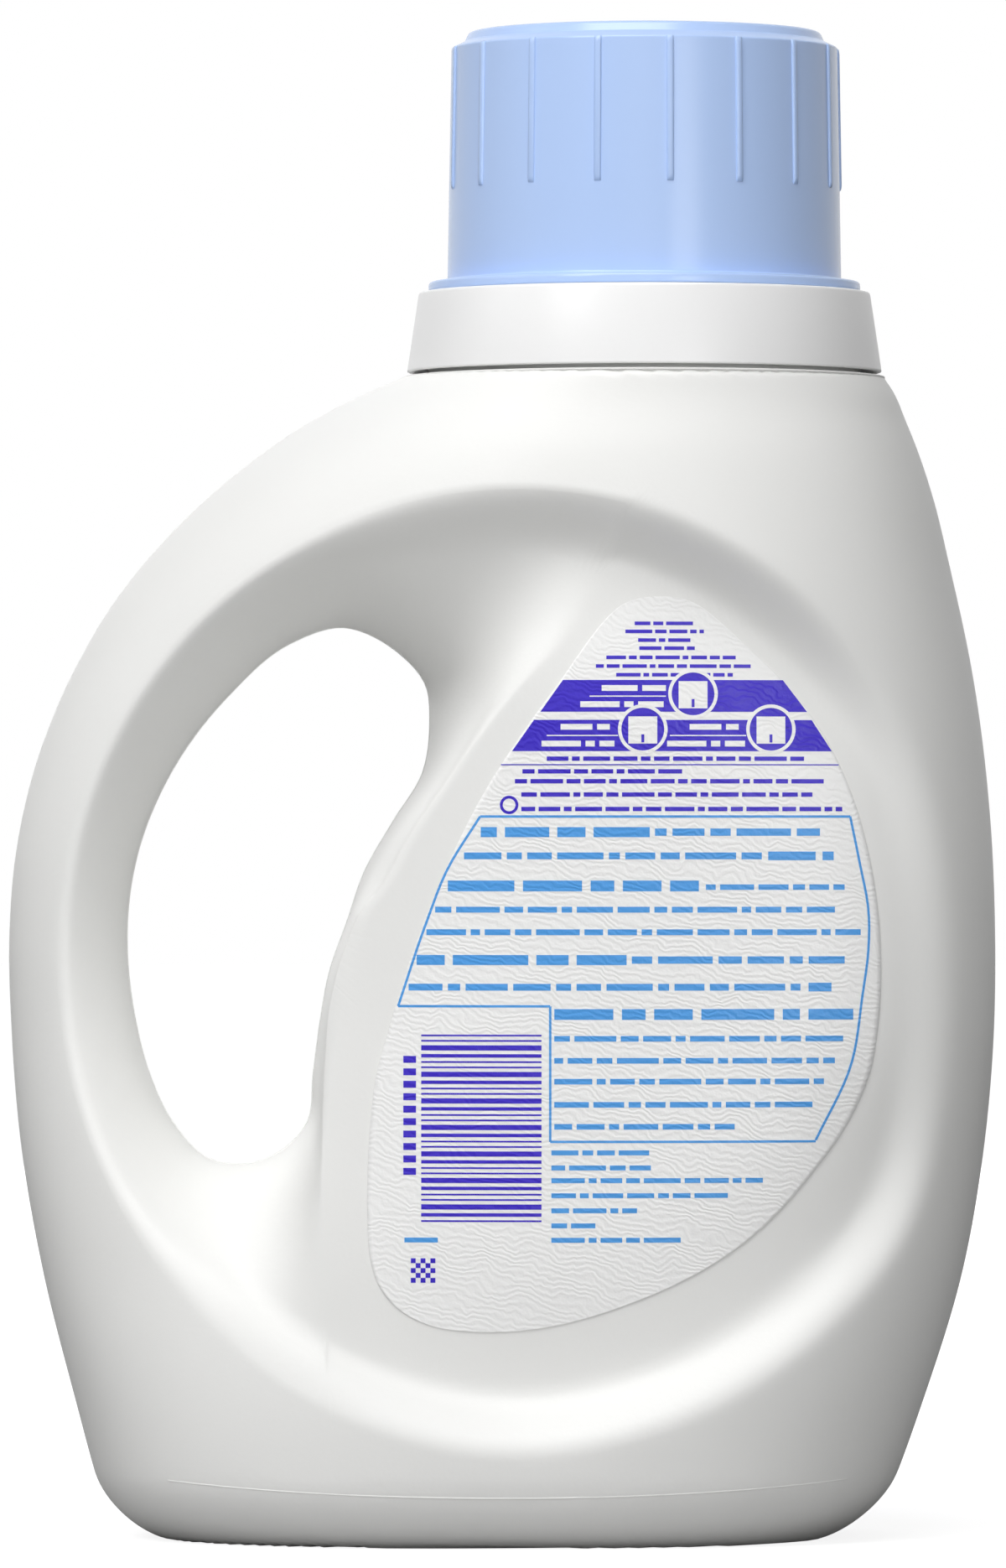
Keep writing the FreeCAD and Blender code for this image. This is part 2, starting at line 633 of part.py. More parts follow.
def profile(body, name, points):
    """A closed profile in the body's XZ plane through (radius, height) expressions."""
    plane = [item for item in body.Origin.OriginFeatures if item.Role == "XZ_Plane"][0]
    sketch = body.newObject("Sketcher::SketchObject", name)
    sketch.AttachmentSupport = [(plane, "")]
    sketch.MapMode = "FlatFace"
    corners = [FreeCAD.Vector(body.evalExpression(across), body.evalExpression(height), 0)
               for across, height in points]
    for start, end in zip(corners, corners[1:] + corners[:1]):
        sketch.addGeometry(Part.LineSegment(start, end), False)
    count = len(points)
    for number in range(count):
        sketch.addConstraint(Sketcher.Constraint("Coincident", number, 2, (number + 1) % count, 1))
    for number, (across, height) in enumerate(points):
        if across == "0":
            sketch.addConstraint(Sketcher.Constraint("PointOnObject", number, 1, -2))
        else:
            place = sketch.addConstraint(Sketcher.Constraint("DistanceX", -1, 1, number, 1, corners[number].x))
            sketch.setExpression(f"Constraints[{place}]", across)
        place = sketch.addConstraint(Sketcher.Constraint("DistanceY", -1, 1, number, 1, corners[number].y))
        sketch.setExpression(f"Constraints[{place}]", height)
    return sketch


def turned_body(name, points):
    """A body turned about the neck's axis from a closed profile."""
    body = doc.addObject("PartDesign::Body", name)
    sketch = profile(body, name + "_profile", points)
    turned = body.newObject("PartDesign::Revolution", name + "_turned")
    turned.Profile = sketch
    turned.ReferenceAxis = (sketch, ["V_Axis"])
    turned.Angle = 360
    body.setExpression("Placement.Base.x", "Sizes.neck_offset")
    return body


# The collar: a flared skirt outside the neck, a socket for the cup inside it, a drain floor that
# falls to the spout, and the spout, cut aslant and slotted at its back so that drips run home.

def collar_profile():
    top = COLLAR_TOP
    foot = "(Sizes.shoulder_height + Sizes.skirt_gap)"
    floor_out = f"({top} - Sizes.socket_depth)"
    floor_in = f"({floor_out} - Sizes.floor_fall)"
    lip = f"({top} + Sizes.spout_height)"
    under_rim = f"({top} - Sizes.rim_wall)"
    socket_back = "(Sizes.socket_radius + Sizes.socket_wall)"
    return [
        ("Sizes.skirt_radius", foot),
        ("Sizes.collar_radius", top),
        ("Sizes.socket_radius", top),
        ("Sizes.socket_radius", floor_out),
        ("Sizes.spout_radius", floor_in),
        ("Sizes.spout_tip_radius", lip),
        ("Sizes.spout_tip_radius - Sizes.spout_wall", lip),
        ("Sizes.spout_radius - Sizes.spout_wall", f"{floor_in} - Sizes.spout_wall"),
        (socket_back, f"{floor_out} - Sizes.spout_wall"),
        (socket_back, under_rim),
        ("Sizes.collar_radius - Sizes.skirt_wall", under_rim),
        ("Sizes.skirt_radius - Sizes.skirt_wall", foot),
    ]


def pocketed(body, name, points, width):
    """Cut a profile through the body, evenly both ways from its XZ plane."""
    pocket = body.newObject("PartDesign::Pocket", name)
    pocket.Profile = profile(body, name + "_profile", points)
    pocket.Midplane = True
    pocket.setExpression("Length", width)
    return pocket


SLANT_MARGIN = 3.0          # the slanting cut runs this far past the spout
collar = turned_body("pour_collar", collar_profile())
lip_z = f"({COLLAR_TOP} + Sizes.spout_height)"
floor_z = f"({COLLAR_TOP} - Sizes.socket_depth - Sizes.floor_fall)"
pocketed(collar, "spout_slant", [
    ("Sizes.spout_tip_radius", lip_z),
    (f"-Sizes.spout_radius - {SLANT_MARGIN}", f"{lip_z} - Sizes.spout_fall"),
    (f"-Sizes.spout_radius - {SLANT_MARGIN}", f"{lip_z} + {SLANT_MARGIN}"),
    ("Sizes.spout_tip_radius", f"{lip_z} + {SLANT_MARGIN}"),
], f"2 * (Sizes.spout_radius + {SLANT_MARGIN})")
pocketed(collar, "drain_slot", [
    ("-Sizes.spout_radius - Sizes.drain_reach", f"{floor_z} - {SLANT_MARGIN}"),
    ("-Sizes.spout_radius / 2", f"{floor_z} - {SLANT_MARGIN}"),
    ("-Sizes.spout_radius / 2", lip_z),
    ("-Sizes.spout_radius - Sizes.drain_reach", lip_z),
], "Sizes.drain_width")


# The measuring cup, upside down as the closure: its flange sits on the collar's rim, its mouth
# goes down inside the collar, and its closed end stands up.

def cup_profile():
    mouth = f"({FLANGE_Z} - Sizes.mouth_depth)"
    flange_top = f"({FLANGE_Z} + Sizes.flange_height)"
    edge = f"({flange_top} + Sizes.cup_height)"
    end = f"({edge} + Sizes.disc_rise)"
    return [
        ("Sizes.mouth_radius - Sizes.cup_wall", mouth),
        ("Sizes.mouth_radius", mouth),
        ("Sizes.mouth_radius", FLANGE_Z),
        ("Sizes.flange_radius", FLANGE_Z),
        ("Sizes.flange_radius", f"{flange_top} - Sizes.flange_bevel"),
        ("Sizes.flange_radius - Sizes.flange_bevel", flange_top),
        ("Sizes.cup_radius", flange_top),
        ("Sizes.cup_top_radius", f"{edge} - Sizes.cup_edge"),
        ("Sizes.cup_top_radius - Sizes.cup_edge", edge),
        ("Sizes.disc_radius + Sizes.cup_edge", f"{edge} + Sizes.cup_edge / 2"),
        ("Sizes.disc_radius", f"{end} - Sizes.disc_edge"),
        ("Sizes.disc_radius - Sizes.disc_edge", end),
        ("0", end),
        ("0", f"{end} - Sizes.cup_wall"),
        ("Sizes.disc_radius - Sizes.cup_wall", f"{end} - Sizes.cup_wall"),
        ("Sizes.cup_top_radius - Sizes.cup_wall", f"{edge} - Sizes.cup_wall - Sizes.cup_edge"),
        ("Sizes.cup_radius - Sizes.cup_wall", flange_top),
    ]


cup = turned_body("measuring_cap", cup_profile())
cup_edge_z = f"({FLANGE_Z} + Sizes.flange_height + Sizes.cup_height - Sizes.cup_edge)"
wall_slope = "((Sizes.cup_radius - Sizes.cup_top_radius) / (Sizes.cup_height - Sizes.cup_edge))"
rib_foot_radius = f"(Sizes.cup_top_radius + {wall_slope} * Sizes.rib_length)"
rib = cup.newObject("PartDesign::Pad", "grip_rib")
rib.Profile = profile(cup, "grip_rib_profile", [
    (f"{rib_foot_radius} - Sizes.cup_wall / 2", f"{cup_edge_z} - Sizes.rib_length"),
    (f"{rib_foot_radius} + Sizes.rib_reach", f"{cup_edge_z} - Sizes.rib_length"),
    ("Sizes.cup_top_radius + Sizes.rib_reach", cup_edge_z),
    ("Sizes.cup_top_radius - Sizes.cup_wall / 2", cup_edge_z),
])
rib.Midplane = True
rib.setExpression("Length", "Sizes.rib_width")
ribs = cup.newObject("PartDesign::PolarPattern", "grip_ribs")
ribs.Originals = [rib]
ribs.Axis = (cup.Group[0], ["V_Axis"])
ribs.Angle = 360
ribs.setExpression("Occurrences", "Sizes.rib_count")
cup.Tip = ribs
cup.setExpression("Placement.Rotation.Angle", "Sizes.rib_phase - 90")


# The labels: thin films on the panels. Levels are shares of the label's height from its foot, and
# side places are shares of its half width.

LABEL_SHAPE = [(0.0, -0.53, -0.525), (0.004, -0.7, -0.35), (0.015, -0.805, -0.19), (0.035, -0.895, -0.005),
               (0.065, -0.96, 0.205), (0.1, -0.99, 0.385), (0.15, -1.0, 0.565), (0.21, -1.0, 0.72),
               (0.28, -0.99, 0.865), (0.35, -0.965, 0.955), (0.42, -0.91, 0.99), (0.5, -0.84, 1.0),
               (0.58, -0.755, 0.985), (0.66, -0.655, 0.945), (0.74, -0.535, 0.875), (0.82, -0.385, 0.76),
               (0.89, -0.24, 0.6), (0.94, -0.14, 0.45), (0.97, -0.07, 0.355), (0.988, -0.01, 0.285),
               (0.997, 0.055, 0.22), (1.0, 0.135, 0.145)]
label_left = Curve([(level, left) for level, left, right in LABEL_SHAPE])
label_right = Curve([(level, right) for level, left, right in LABEL_SHAPE])
LABEL_ROWS = 25
LABEL_COLUMNS = 13



def film_point(across, level):
    """A point of the panel at the given share across and up the label."""
    up = (1 - math.cos(math.pi * level)) / 2
    left, right = label_left(up), label_right(up)
    x = size("label_offset") + (left + (right - left) * across) * size("label_width") / 2
    z = size("label_level") + (up - 0.5) * size("label_height")
    return FreeCAD.Vector(x, panelled(x, z), z)


film_net = [[film_point(column / (LABEL_COLUMNS - 1), row / (LABEL_ROWS - 1))
             for column in range(LABEL_COLUMNS)] for row in range(LABEL_ROWS)]


def film(side):
    """A thin solid that follows the panel; side is 1 at +Y and -1 at -Y."""
    skins = []
    for lift in (size("label_lift"), size("label_lift") + size("label_film")):
        net = [[FreeCAD.Vector(point.x, side * (point.y + lift), point.z) for point in row]
               for row in film_net]
        surface = Part.BSplineSurface()
        surface.buildFromPolesMultsKnots(
            net, [4] + [1] * (LABEL_ROWS - 4) + [4], [4] + [1] * (LABEL_COLUMNS - 4) + [4],
            [float(i) for i in range(LABEL_ROWS - 2)], [float(i) for i in range(LABEL_COLUMNS - 2)],
            False, False, 3, 3)
        skins.append(surface.toShape())
    return solid_within(skins + [Part.makeRuledSurface(low, high)
                                 for low, high in zip(skins[0].Edges, skins[1].Edges)])


shape_feature("front_label", film(1))
shape_feature("back_label", film(-1))


# Check everything, then write each piece

PIECES = ["bottle", "pour_collar", "measuring_cap", "front_label", "back_label"]
doc.recompute()
for item in doc.Objects:
    if "Invalid" in item.State or "Error" in item.State:
        raise RuntimeError(f"{item.Name} failed: {item.State}")
os.makedirs("parts", exist_ok=True)
for name in PIECES:
    piece = doc.getObject(name)
    piece.Label = name
    if piece.Shape.isNull() or not piece.Shape.isValid():
        raise RuntimeError(f"{name} has no valid shape")
for name in PIECES:
    piece = doc.getObject(name)
    piece.Shape.exportStep(f"parts/{name}.step")
    print(name, len(piece.Shape.Solids), "solid", round(piece.Shape.Volume, 1), "mm3")
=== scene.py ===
import math
import bmesh
import bpy
import numpy as np
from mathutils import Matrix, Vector


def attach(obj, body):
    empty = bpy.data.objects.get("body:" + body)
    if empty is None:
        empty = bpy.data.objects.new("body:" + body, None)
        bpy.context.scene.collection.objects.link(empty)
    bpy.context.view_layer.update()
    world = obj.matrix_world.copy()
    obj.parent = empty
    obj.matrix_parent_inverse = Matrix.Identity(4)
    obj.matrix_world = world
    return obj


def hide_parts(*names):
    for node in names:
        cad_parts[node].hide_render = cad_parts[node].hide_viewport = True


# A laundry detergent bottle. Lengths are in millimetres until a mesh is made.

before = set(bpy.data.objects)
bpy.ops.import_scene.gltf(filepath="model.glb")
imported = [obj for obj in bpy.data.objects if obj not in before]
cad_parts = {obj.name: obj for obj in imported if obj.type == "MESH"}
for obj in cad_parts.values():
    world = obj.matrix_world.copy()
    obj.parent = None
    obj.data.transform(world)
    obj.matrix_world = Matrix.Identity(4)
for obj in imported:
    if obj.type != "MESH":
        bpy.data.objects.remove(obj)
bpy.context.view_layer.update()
MM = 0.001

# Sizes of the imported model

NECK_X = 25.1
SHOULDER = 204.4
HALF_WIDTH = 86.9
HALF_DEPTH = 50.0
SHOULDER_RADIUS = 42.2
BASE_RADIUS = 12.0
RECESS_LEVEL = 100.0
RECESS_RADIUS = 83.0
RECESS_BAND = 11.5
RECESS_STEP = 7.0
GRIP_X, GRIP_Z = -39.4, 112.9
GRIP_WIDTH, GRIP_HEIGHT = 53.7, 94.7
OVERRUN = 13.5

# The point in the grip that the rays of the body's mesh leave from

STAR_X, STAR_Z = -42.8, 111.2


# Curves through points

class Curve:
    """A smooth curve through (place, value) points, level beyond its ends."""

    def __init__(self, points):
        table = np.array(points, float)
        self.at, self.value = table[:, 0], table[:, 1]
        self.slope = np.gradient(self.value, self.at)

    def __call__(self, place):
        place = np.clip(place, self.at[0], self.at[-1])
        i = np.clip(np.searchsorted(self.at, place, side="right") - 1, 0, len(self.at) - 2)
        span = self.at[i + 1] - self.at[i]
        part = (place - self.at[i]) / span
        start = (1 + 2 * part) * (1 - part) ** 2 * self.value[i]
        end = part ** 2 * (3 - 2 * part) * self.value[i + 1]
        leave = part * (1 - part) ** 2 * span * self.slope[i]
        arrive = part ** 2 * (part - 1) * span * self.slope[i + 1]
        return start + end + leave + arrive


def round_curve(points):
    """A curve over 0 to 360 degrees that joins up with itself."""
    before = [(angle - 360, value) for angle, value in points[-2:]]
    after = [(angle + 360, value) for angle, value in points[:2]]
    return Curve(before + points + after)


def trace(points, count, closed):
    """Points along a smooth curve through (x, z) points."""
    chain = np.array(points[-2:] + points + points[:3] if closed else points, float)
    run = np.concatenate([[0.0], np.cumsum(np.hypot(*np.diff(chain, axis=0).T))])
    first, last = (run[2], run[2 + len(points)]) if closed else (0.0, run[-1])
    places = np.linspace(first, last, count, endpoint=not closed)
    across = Curve(np.stack([run, chain[:, 0]], 1))
    upward = Curve(np.stack([run, chain[:, 1]], 1))
    return np.stack([across(places), upward(places)], 1)


def smooth(part):
    """0 to 1 with level ends."""
    part = np.clip(part, 0, 1)
    return part * part * (3 - 2 * part)


def soft_least(first, second, reach):
    """The lesser of two heights, rounded where they cross."""
    share = np.clip(0.5 + 0.5 * (second - first) / reach, 0, 1)
    return second + (first - second) * share - reach * share * (1 - share)


# The body's envelope

LEFT_SIDE = [(-0.07, 0.77), (0.0, 0.787), (0.05, 0.823), (0.116, 0.865), (0.225, 0.93), (0.333, 0.975),
             (0.44, 0.996), (0.519, 1.0), (0.594, 0.985), (0.68, 0.935), (0.747, 0.868),
             (0.812, 0.776), (0.877, 0.643), (0.92, 0.528), (0.964, 0.376)]
RIGHT_SIDE = [(-0.07, 0.72), (0.0, 0.747), (0.05, 0.797), (0.116, 0.853), (0.225, 0.932), (0.333, 0.977),
              (0.42, 0.996), (0.528, 1.0), (0.616, 0.991), (0.747, 0.953), (0.833, 0.91),
              (0.899, 0.872), (0.942, 0.838), (0.964, 0.817)]
DEPTHS = [(-0.07, 0.915), (0.0, 0.93), (0.058, 0.958), (0.122, 0.985), (0.294, 1.0), (0.538, 1.0),
          (0.734, 0.992), (0.856, 0.967), (0.93, 0.919), (0.978, 0.861)]
CRESTS = [(-0.07, 0.0), (0.05, 0.02), (0.245, 0.14), (0.49, 0.23), (0.734, 0.253), (0.93, 0.276)]
LEFT_FULLNESS = Curve([(-0.07, 2.4), (0.07, 2.3), (0.245, 1.9), (0.44, 1.6), (0.636, 1.6),
                       (0.807, 1.7), (0.93, 1.9), (1.0, 2.0)])
RIGHT_FULLNESS = Curve([(-0.07, 2.4), (0.07, 2.4), (0.294, 2.35), (0.587, 2.3), (0.832, 2.15), (1.0, 2.0)])
FOOT_STEEPNESS = 1.05
NEAR_SHOULDER = 0.985


def side_curve(points, sign, last):
    """Side places in millimetres, ending in the round section at the shoulder."""
    places = [(share, sign * value * HALF_WIDTH) for share, value in points]
    places.append((NEAR_SHOULDER, NECK_X + sign * last * SHOULDER_RADIUS))
    places.append((1.0, NECK_X + sign * SHOULDER_RADIUS))
    return Curve(places)


left_side = side_curve(LEFT_SIDE, -1, 1.17)
right_side = side_curve(RIGHT_SIDE, 1, 1.045)
depth_at = Curve([(share, value * HALF_DEPTH) for share, value in DEPTHS] + [(1.0, SHOULDER_RADIUS)])
crest_at = Curve([(share, value * HALF_WIDTH) for share, value in CRESTS] + [(1.0, NECK_X)])


def foot_inset(z):
    """How far the sides have drawn in at height z, near the base."""
    reach = BASE_RADIUS * FOOT_STEEPNESS
    lean = np.clip((BASE_RADIUS - np.maximum(z, 0)) / reach, 0, 1)
    inset = BASE_RADIUS * (1 - np.sqrt(1 - lean ** 2))
    steepness = BASE_RADIUS / reach * lean / np.sqrt(1 - lean ** 2)
    return np.where(z >= BASE_RADIUS, 0.0, inset + steepness * np.maximum(-z, 0))


def section(z):
    """Left end, right end, crest and half depth of the body at height z."""
    share = z / SHOULDER
    above = np.clip((z - SHOULDER) / OVERRUN, 0, 1)
    radius = SHOULDER_RADIUS * (1 - above)
    inset = foot_inset(z)
    over = z > SHOULDER
    return (np.where(over, NECK_X - radius, left_side(share) + inset),
            np.where(over, NECK_X + radius, right_side(share) - inset),
            np.where(over, NECK_X, crest_at(share)),
            np.where(over, radius, depth_at(share) - inset))


def is_inside(x, z):
    """Whether points of the parting plane lie inside the body's outline."""
    left, right, crest, depth = section(z)
    return (z > -OVERRUN) & (z < SHOULDER + OVERRUN) & (depth > 0) & (x > left) & (x < right)


def envelope(x, z):
    """Half depth of the body's plain outside, without recess and grip."""
    left, right, crest, depth = section(z)
    share = z / SHOULDER
    part_left = np.clip((crest - x) / (crest - left), 0, 1)
    part_right = np.clip((x - crest) / (right - crest), 0, 1)
    full_left, full_right = LEFT_FULLNESS(share), RIGHT_FULLNESS(share)
    swell = np.where(x < crest, (1 - part_left ** full_left) ** (1 / full_left),
                     (1 - part_right ** full_right) ** (1 / full_right))
    return np.maximum(depth, 0) * swell


# The recess round the panel

RECESS_EASE = round_curve([(0, 0.965), (10, 0.97), (30, 1.0), (42, 1.012), (73, 1.024), (90, 1.02),
                           (117, 1.005), (150, 0.982), (180, 0.958), (225, 0.97), (255, 0.994),
                           (270, 1.01), (290, 1.012), (312, 1.018), (328, 1.024), (345, 0.98)])
STEP_SHARE = round_curve([(0, 0.45), (25, 0.65), (45, 1.0), (90, 1.0), (112, 0.45), (180, 0.3),
                          (240, 0.35), (258, 0.93), (300, 1.05), (330, 0.85), (348, 0.5)])
MIDDLE_STEP = 4.0
MIDDLE_FADE = 30.0
PANEL_DEPTH = 43.0
PANEL_BOW = 330.0
PANEL_RISE = 14.0
PANEL_CREST = 12.0
SOFT_JOIN = 5.0


def recess_polar(x, z):
    """Angle in degrees and distance from the recess's middle."""
    up = z - RECESS_LEVEL
    return np.degrees(np.arctan2(up, x)) % 360, np.hypot(x, up)


def recess_point(angle, inset):
    """Points on the recess's edge, drawn in by inset."""
    radius = RECESS_RADIUS * RECESS_EASE(angle) - inset
    turn = np.radians(angle)
    return np.stack([radius * np.cos(turn), RECESS_LEVEL + radius * np.sin(turn)], -1)


def panelled(x, z):
    """Half depth with the recess and its panel, without the grip."""
    angle, distance = recess_polar(x, z)
    inside = RECESS_RADIUS * RECESS_EASE(angle) - distance
    near = 1 - smooth((inside - RECESS_BAND) / MIDDLE_FADE)
    step = RECESS_STEP * STEP_SHARE(angle) * near + MIDDLE_STEP * (1 - near)
    edge = smooth(inside / RECESS_BAND)
    panel = PANEL_DEPTH - (x - PANEL_CREST) ** 2 / (2 * PANEL_BOW) + PANEL_RISE * (1 - edge)
    return soft_least(envelope(x, z) - step * edge, panel, SOFT_JOIN)


# The grip: a hole for the hand, and a hollow that falls to it from a ridge

HOLE_SHAPE = [(0.426, 1.001), (0.762, 0.917), (0.97, 0.78), (0.993, 0.645), (0.949, 0.463),
              (0.751, 0.276), (0.563, 0.088), (0.448, -0.099), (0.332, -0.287), (0.271, -0.474),
              (0.227, -0.662), (0.183, -0.849), (0.034, -0.943), (-0.208, -0.999), (-0.456, -0.981),
              (-0.693, -0.849), (-0.853, -0.662), (-0.941, -0.474), (-1.0, -0.18), (-0.985, -0.005),
              (-0.919, 0.182), (-0.793, 0.37), (-0.605, 0.557), (-0.335, 0.745), (0.07, 0.94)]
RIDGE_SHAPE = [(0.238, 0.88), (0.129, 0.681), (0.054, 0.606), (-0.033, 0.504), (-0.121, 0.385),
               (-0.196, 0.277), (-0.252, 0.176), (-0.299, 0.12), (-0.337, 0.024), (-0.36, -0.072),
               (-0.369, -0.177), (-0.374, -0.422), (-0.372, -0.555), (-0.365, -0.841)]
RIDGE_INSET = 1.5
GRIP_LAND = 1.6
LIP_SHARE = 0.10
RIDGE_SHARE = 0.18
HOLE_POINTS = 160
ARC_POINTS = 90
RIDGE_POINTS = 70
NEARLY_ON = 1e-4

hole_edge = trace([(GRIP_X + x * GRIP_WIDTH / 2, GRIP_Z + z * GRIP_HEIGHT / 2) for x, z in HOLE_SHAPE],
                  HOLE_POINTS, True)


def polar_table(loop):
    """Angles and distances of a loop about the point that the rays leave from, in order of angle."""
    angles = np.arctan2(loop[:, 1] - STAR_Z, loop[:, 0] - STAR_X) % math.tau
    order = np.argsort(angles)
    return angles[order], np.hypot(loop[:, 0] - STAR_X, loop[:, 1] - STAR_Z)[order]


def reach(table, angle):
    """Distance to a loop in given directions."""
    return np.interp(angle % math.tau, *table, period=math.tau)


hole_table = polar_table(hole_edge)


def ridge_loop():
    """The closed ridge round the grip: the recess's edge at the handle, the panel's edge beyond."""
    crease = trace([(x * RECESS_RADIUS, RECESS_LEVEL + z * RECESS_RADIUS) for x, z in RIDGE_SHAPE],
                   RIDGE_POINTS, False)
    first = recess_polar(*crease[0])[0]
    last = recess_polar(*crease[-1])[0]
    arc = recess_point(np.linspace(first, last, ARC_POINTS), RIDGE_INSET)
    loop = np.vstack([arc, crease[::-1]])
    angles = np.arctan2(loop[:, 1] - STAR_Z, loop[:, 0] - STAR_X)
    distance = np.hypot(loop[:, 0] - STAR_X, loop[:, 1] - STAR_Z)
    distance = np.maximum(distance, reach(hole_table, angles) + GRIP_LAND)
    return np.stack([STAR_X + distance * np.cos(angles), STAR_Z + distance * np.sin(angles)], 1)


ridge = ridge_loop()
ridge_table = polar_table(ridge)


def pull(loop, x, z):
    """How strongly a loop pulls on points: each bit of its length by the inverse square distance."""
    total = np.zeros(np.shape(x))
    for (ax, az), (bx, bz) in zip(loop, np.roll(loop, -1, 0)):
        length = math.hypot(bx - ax, bz - az)
        dx, dz = (bx - ax) / length, (bz - az) / length
        start = (ax - x) * dx + (az - z) * dz
        off = np.maximum(np.abs((x - ax) * dz - (z - az) * dx), NEARLY_ON)
        total += (np.arctan((start + length) / off) - np.arctan(start / off)) / off
    return total


def half_depth(x, z):
    """Half depth of the finished body."""
    angle = np.arctan2(z - STAR_Z, x - STAR_X)
    distance = np.hypot(x - STAR_X, z - STAR_Z)
    to_ridge = pull(ridge, x, z)
    share = to_ridge / (to_ridge + pull(hole_edge, x, z))
    # Steeper at the hole's lip, then rounded off at the ridge
    share = np.sqrt(share ** 2 + 2 * LIP_SHARE * share) / math.sqrt(1 + 2 * LIP_SHARE)
    share = np.where(share > 1 - RIDGE_SHARE,
                     1 - RIDGE_SHARE / 2 - (1 - share) ** 2 / (2 * RIDGE_SHARE), share)
    share = np.where(distance < reach(ridge_table, angle), share / (1 - RIDGE_SHARE / 2), 1.0)
    return panelled(x, z) * share


# Meshes

def new_object(name, verts, faces, body, smooth_faces=True):
    """A piece from vertices in millimetres, riding on a body."""
    mesh = bpy.data.meshes.new(name)
    mesh.from_pydata([tuple(np.asarray(vert) * MM) for vert in verts], [],
                     [tuple(int(i) for i in face) for face in faces])
    mesh.validate()
    work = bmesh.new()
    work.from_mesh(mesh)
    bmesh.ops.remove_doubles(work, verts=work.verts, dist=1e-7)
    bmesh.ops.recalc_face_normals(work, faces=work.faces)
    for face in work.faces:
        face.smooth = smooth_faces
    work.to_mesh(mesh)
    work.free()
    piece = bpy.data.objects.new(name, mesh)
    bpy.context.scene.collection.objects.link(piece)
    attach(piece, body)
    return piece


class Build:
    """Vertices and faces gathered from several parts of one piece."""

    def __init__(self):
        self.verts = []
        self.faces = []

    def add(self, verts, faces):
        """Takes in vertices, and faces that count from the first of them."""
        start = len(self.verts)
        self.verts.extend(np.asarray(verts, float).tolist())
        self.faces.extend([[start + i for i in face] for face in faces])

    def grid(self, points, closed_u=False, closed_v=False):
        """A sheet of quads over a grid of points."""
        points = np.asarray(points, float)
        nu, nv = points.shape[:2]
        faces = []
        for i in range(nu if closed_u else nu - 1):
            for j in range(nv if closed_v else nv - 1):
                after, above = (i + 1) % nu, (j + 1) % nv
                faces.append((i * nv + j, after * nv + j, after * nv + above, i * nv + above))
        self.add(points.reshape(-1, 3), faces)


MOST_TRIM = 0.48


def arc_corners(points, radii, steps=5):
    """A closed profile with its corners rounded; a radius of 0 keeps a corner."""
    points = np.array(points, float)
    result = []
    for i, radius in enumerate(radii):
        corner = points[i]
        to_last = points[i - 1] - corner
        to_next = points[(i + 1) % len(points)] - corner
        last_run, next_run = np.linalg.norm(to_last), np.linalg.norm(to_next)
        to_last, to_next = to_last / last_run, to_next / next_run
        if radius <= 0:
            result.append(corner)
            continue
        half = math.acos(np.clip(to_last @ to_next, -1, 1)) / 2
        trim = min(radius / math.tan(half), MOST_TRIM * last_run, MOST_TRIM * next_run)
        start, end = corner + to_last * trim, corner + to_next * trim
        for step in range(steps + 1):
            part = step / steps
            result.append((1 - part) ** 2 * start + 2 * part * (1 - part) * corner + part ** 2 * end)
    return np.array(result)


def turned(profile_at, segments):
    """Rings of points from a profile (radius, height) for each angle, about the neck's axis."""
    rings = []
    for angle in np.arange(segments) * math.tau / segments:
        profile = profile_at(angle)
        rings.append(np.stack([NECK_X + profile[:, 0] * math.cos(angle),
                               profile[:, 0] * math.sin(angle), profile[:, 1]], 1))
    return np.array(rings)


# The bottle's skin

RAYS = 480
HOLLOW_ROWS = 26
HOLLOW_EASE = 1.5
PANEL_ROWS = 40
RIM_ROWS = 22
RIM_REACH = 22.0
TRIALS = 2880
PANEL_TRIALS = 161
TURN_WEIGHT, STEP_WEIGHT = 24.0, 2.0
EVENING = 20
FAR_OUTSIDE = 400.0
HALVINGS = 40
PUSH_UP, PUSH_LENGTH, PUSH_WIDTH = 3.2, 88.0, 54.0
NECK_HOLE = 37.3
NECK_RADIUS, BEAD_RADIUS = 38.1, 38.8
NECK_BORE, NECK_TOP, NECK_INSIDE_FOOT = 37.0, 217.4, 201.0
RING_RADIUS, RING_RISE, RING_SINK = 42.45, 0.05, 0.6
NECK_SEGMENTS = 160


def outline_reach(angles):
    """Distance from the rays' point to the body's outline in given directions."""
    near, far = np.zeros_like(angles), np.full_like(angles, FAR_OUTSIDE)
    for _ in range(HALVINGS):
        middle = (near + far) / 2
        inside = is_inside(STAR_X + middle * np.cos(angles), STAR_Z + middle * np.sin(angles))
        near, far = np.where(inside, middle, near), np.where(inside, far, middle)
    return near


def ray_angles():
    """Directions of the rays, crowded where the ridge or the outline is long or turns."""
    trial = np.linspace(0, math.tau, TRIALS + 1)
    inner, outer = reach(ridge_table, trial), outline_reach(trial)
    step = 0
    for distance in (inner, outer):
        step = step + np.hypot(np.diff(distance * np.cos(trial)), np.diff(distance * np.sin(trial)))
    heading = np.arctan2(np.diff(outer * np.sin(trial)), np.diff(outer * np.cos(trial)))
    turn = np.abs((heading - np.roll(heading, 1) + math.pi) % math.tau - math.pi)
    rough = step + TURN_WEIGHT * turn
    even = sum(np.roll(rough, k) for k in range(-EVENING, EVENING + 1))
    total = np.concatenate([[0], np.cumsum(even)])
    return np.interp(np.arange(RAYS) / RAYS * total[-1], total, trial)


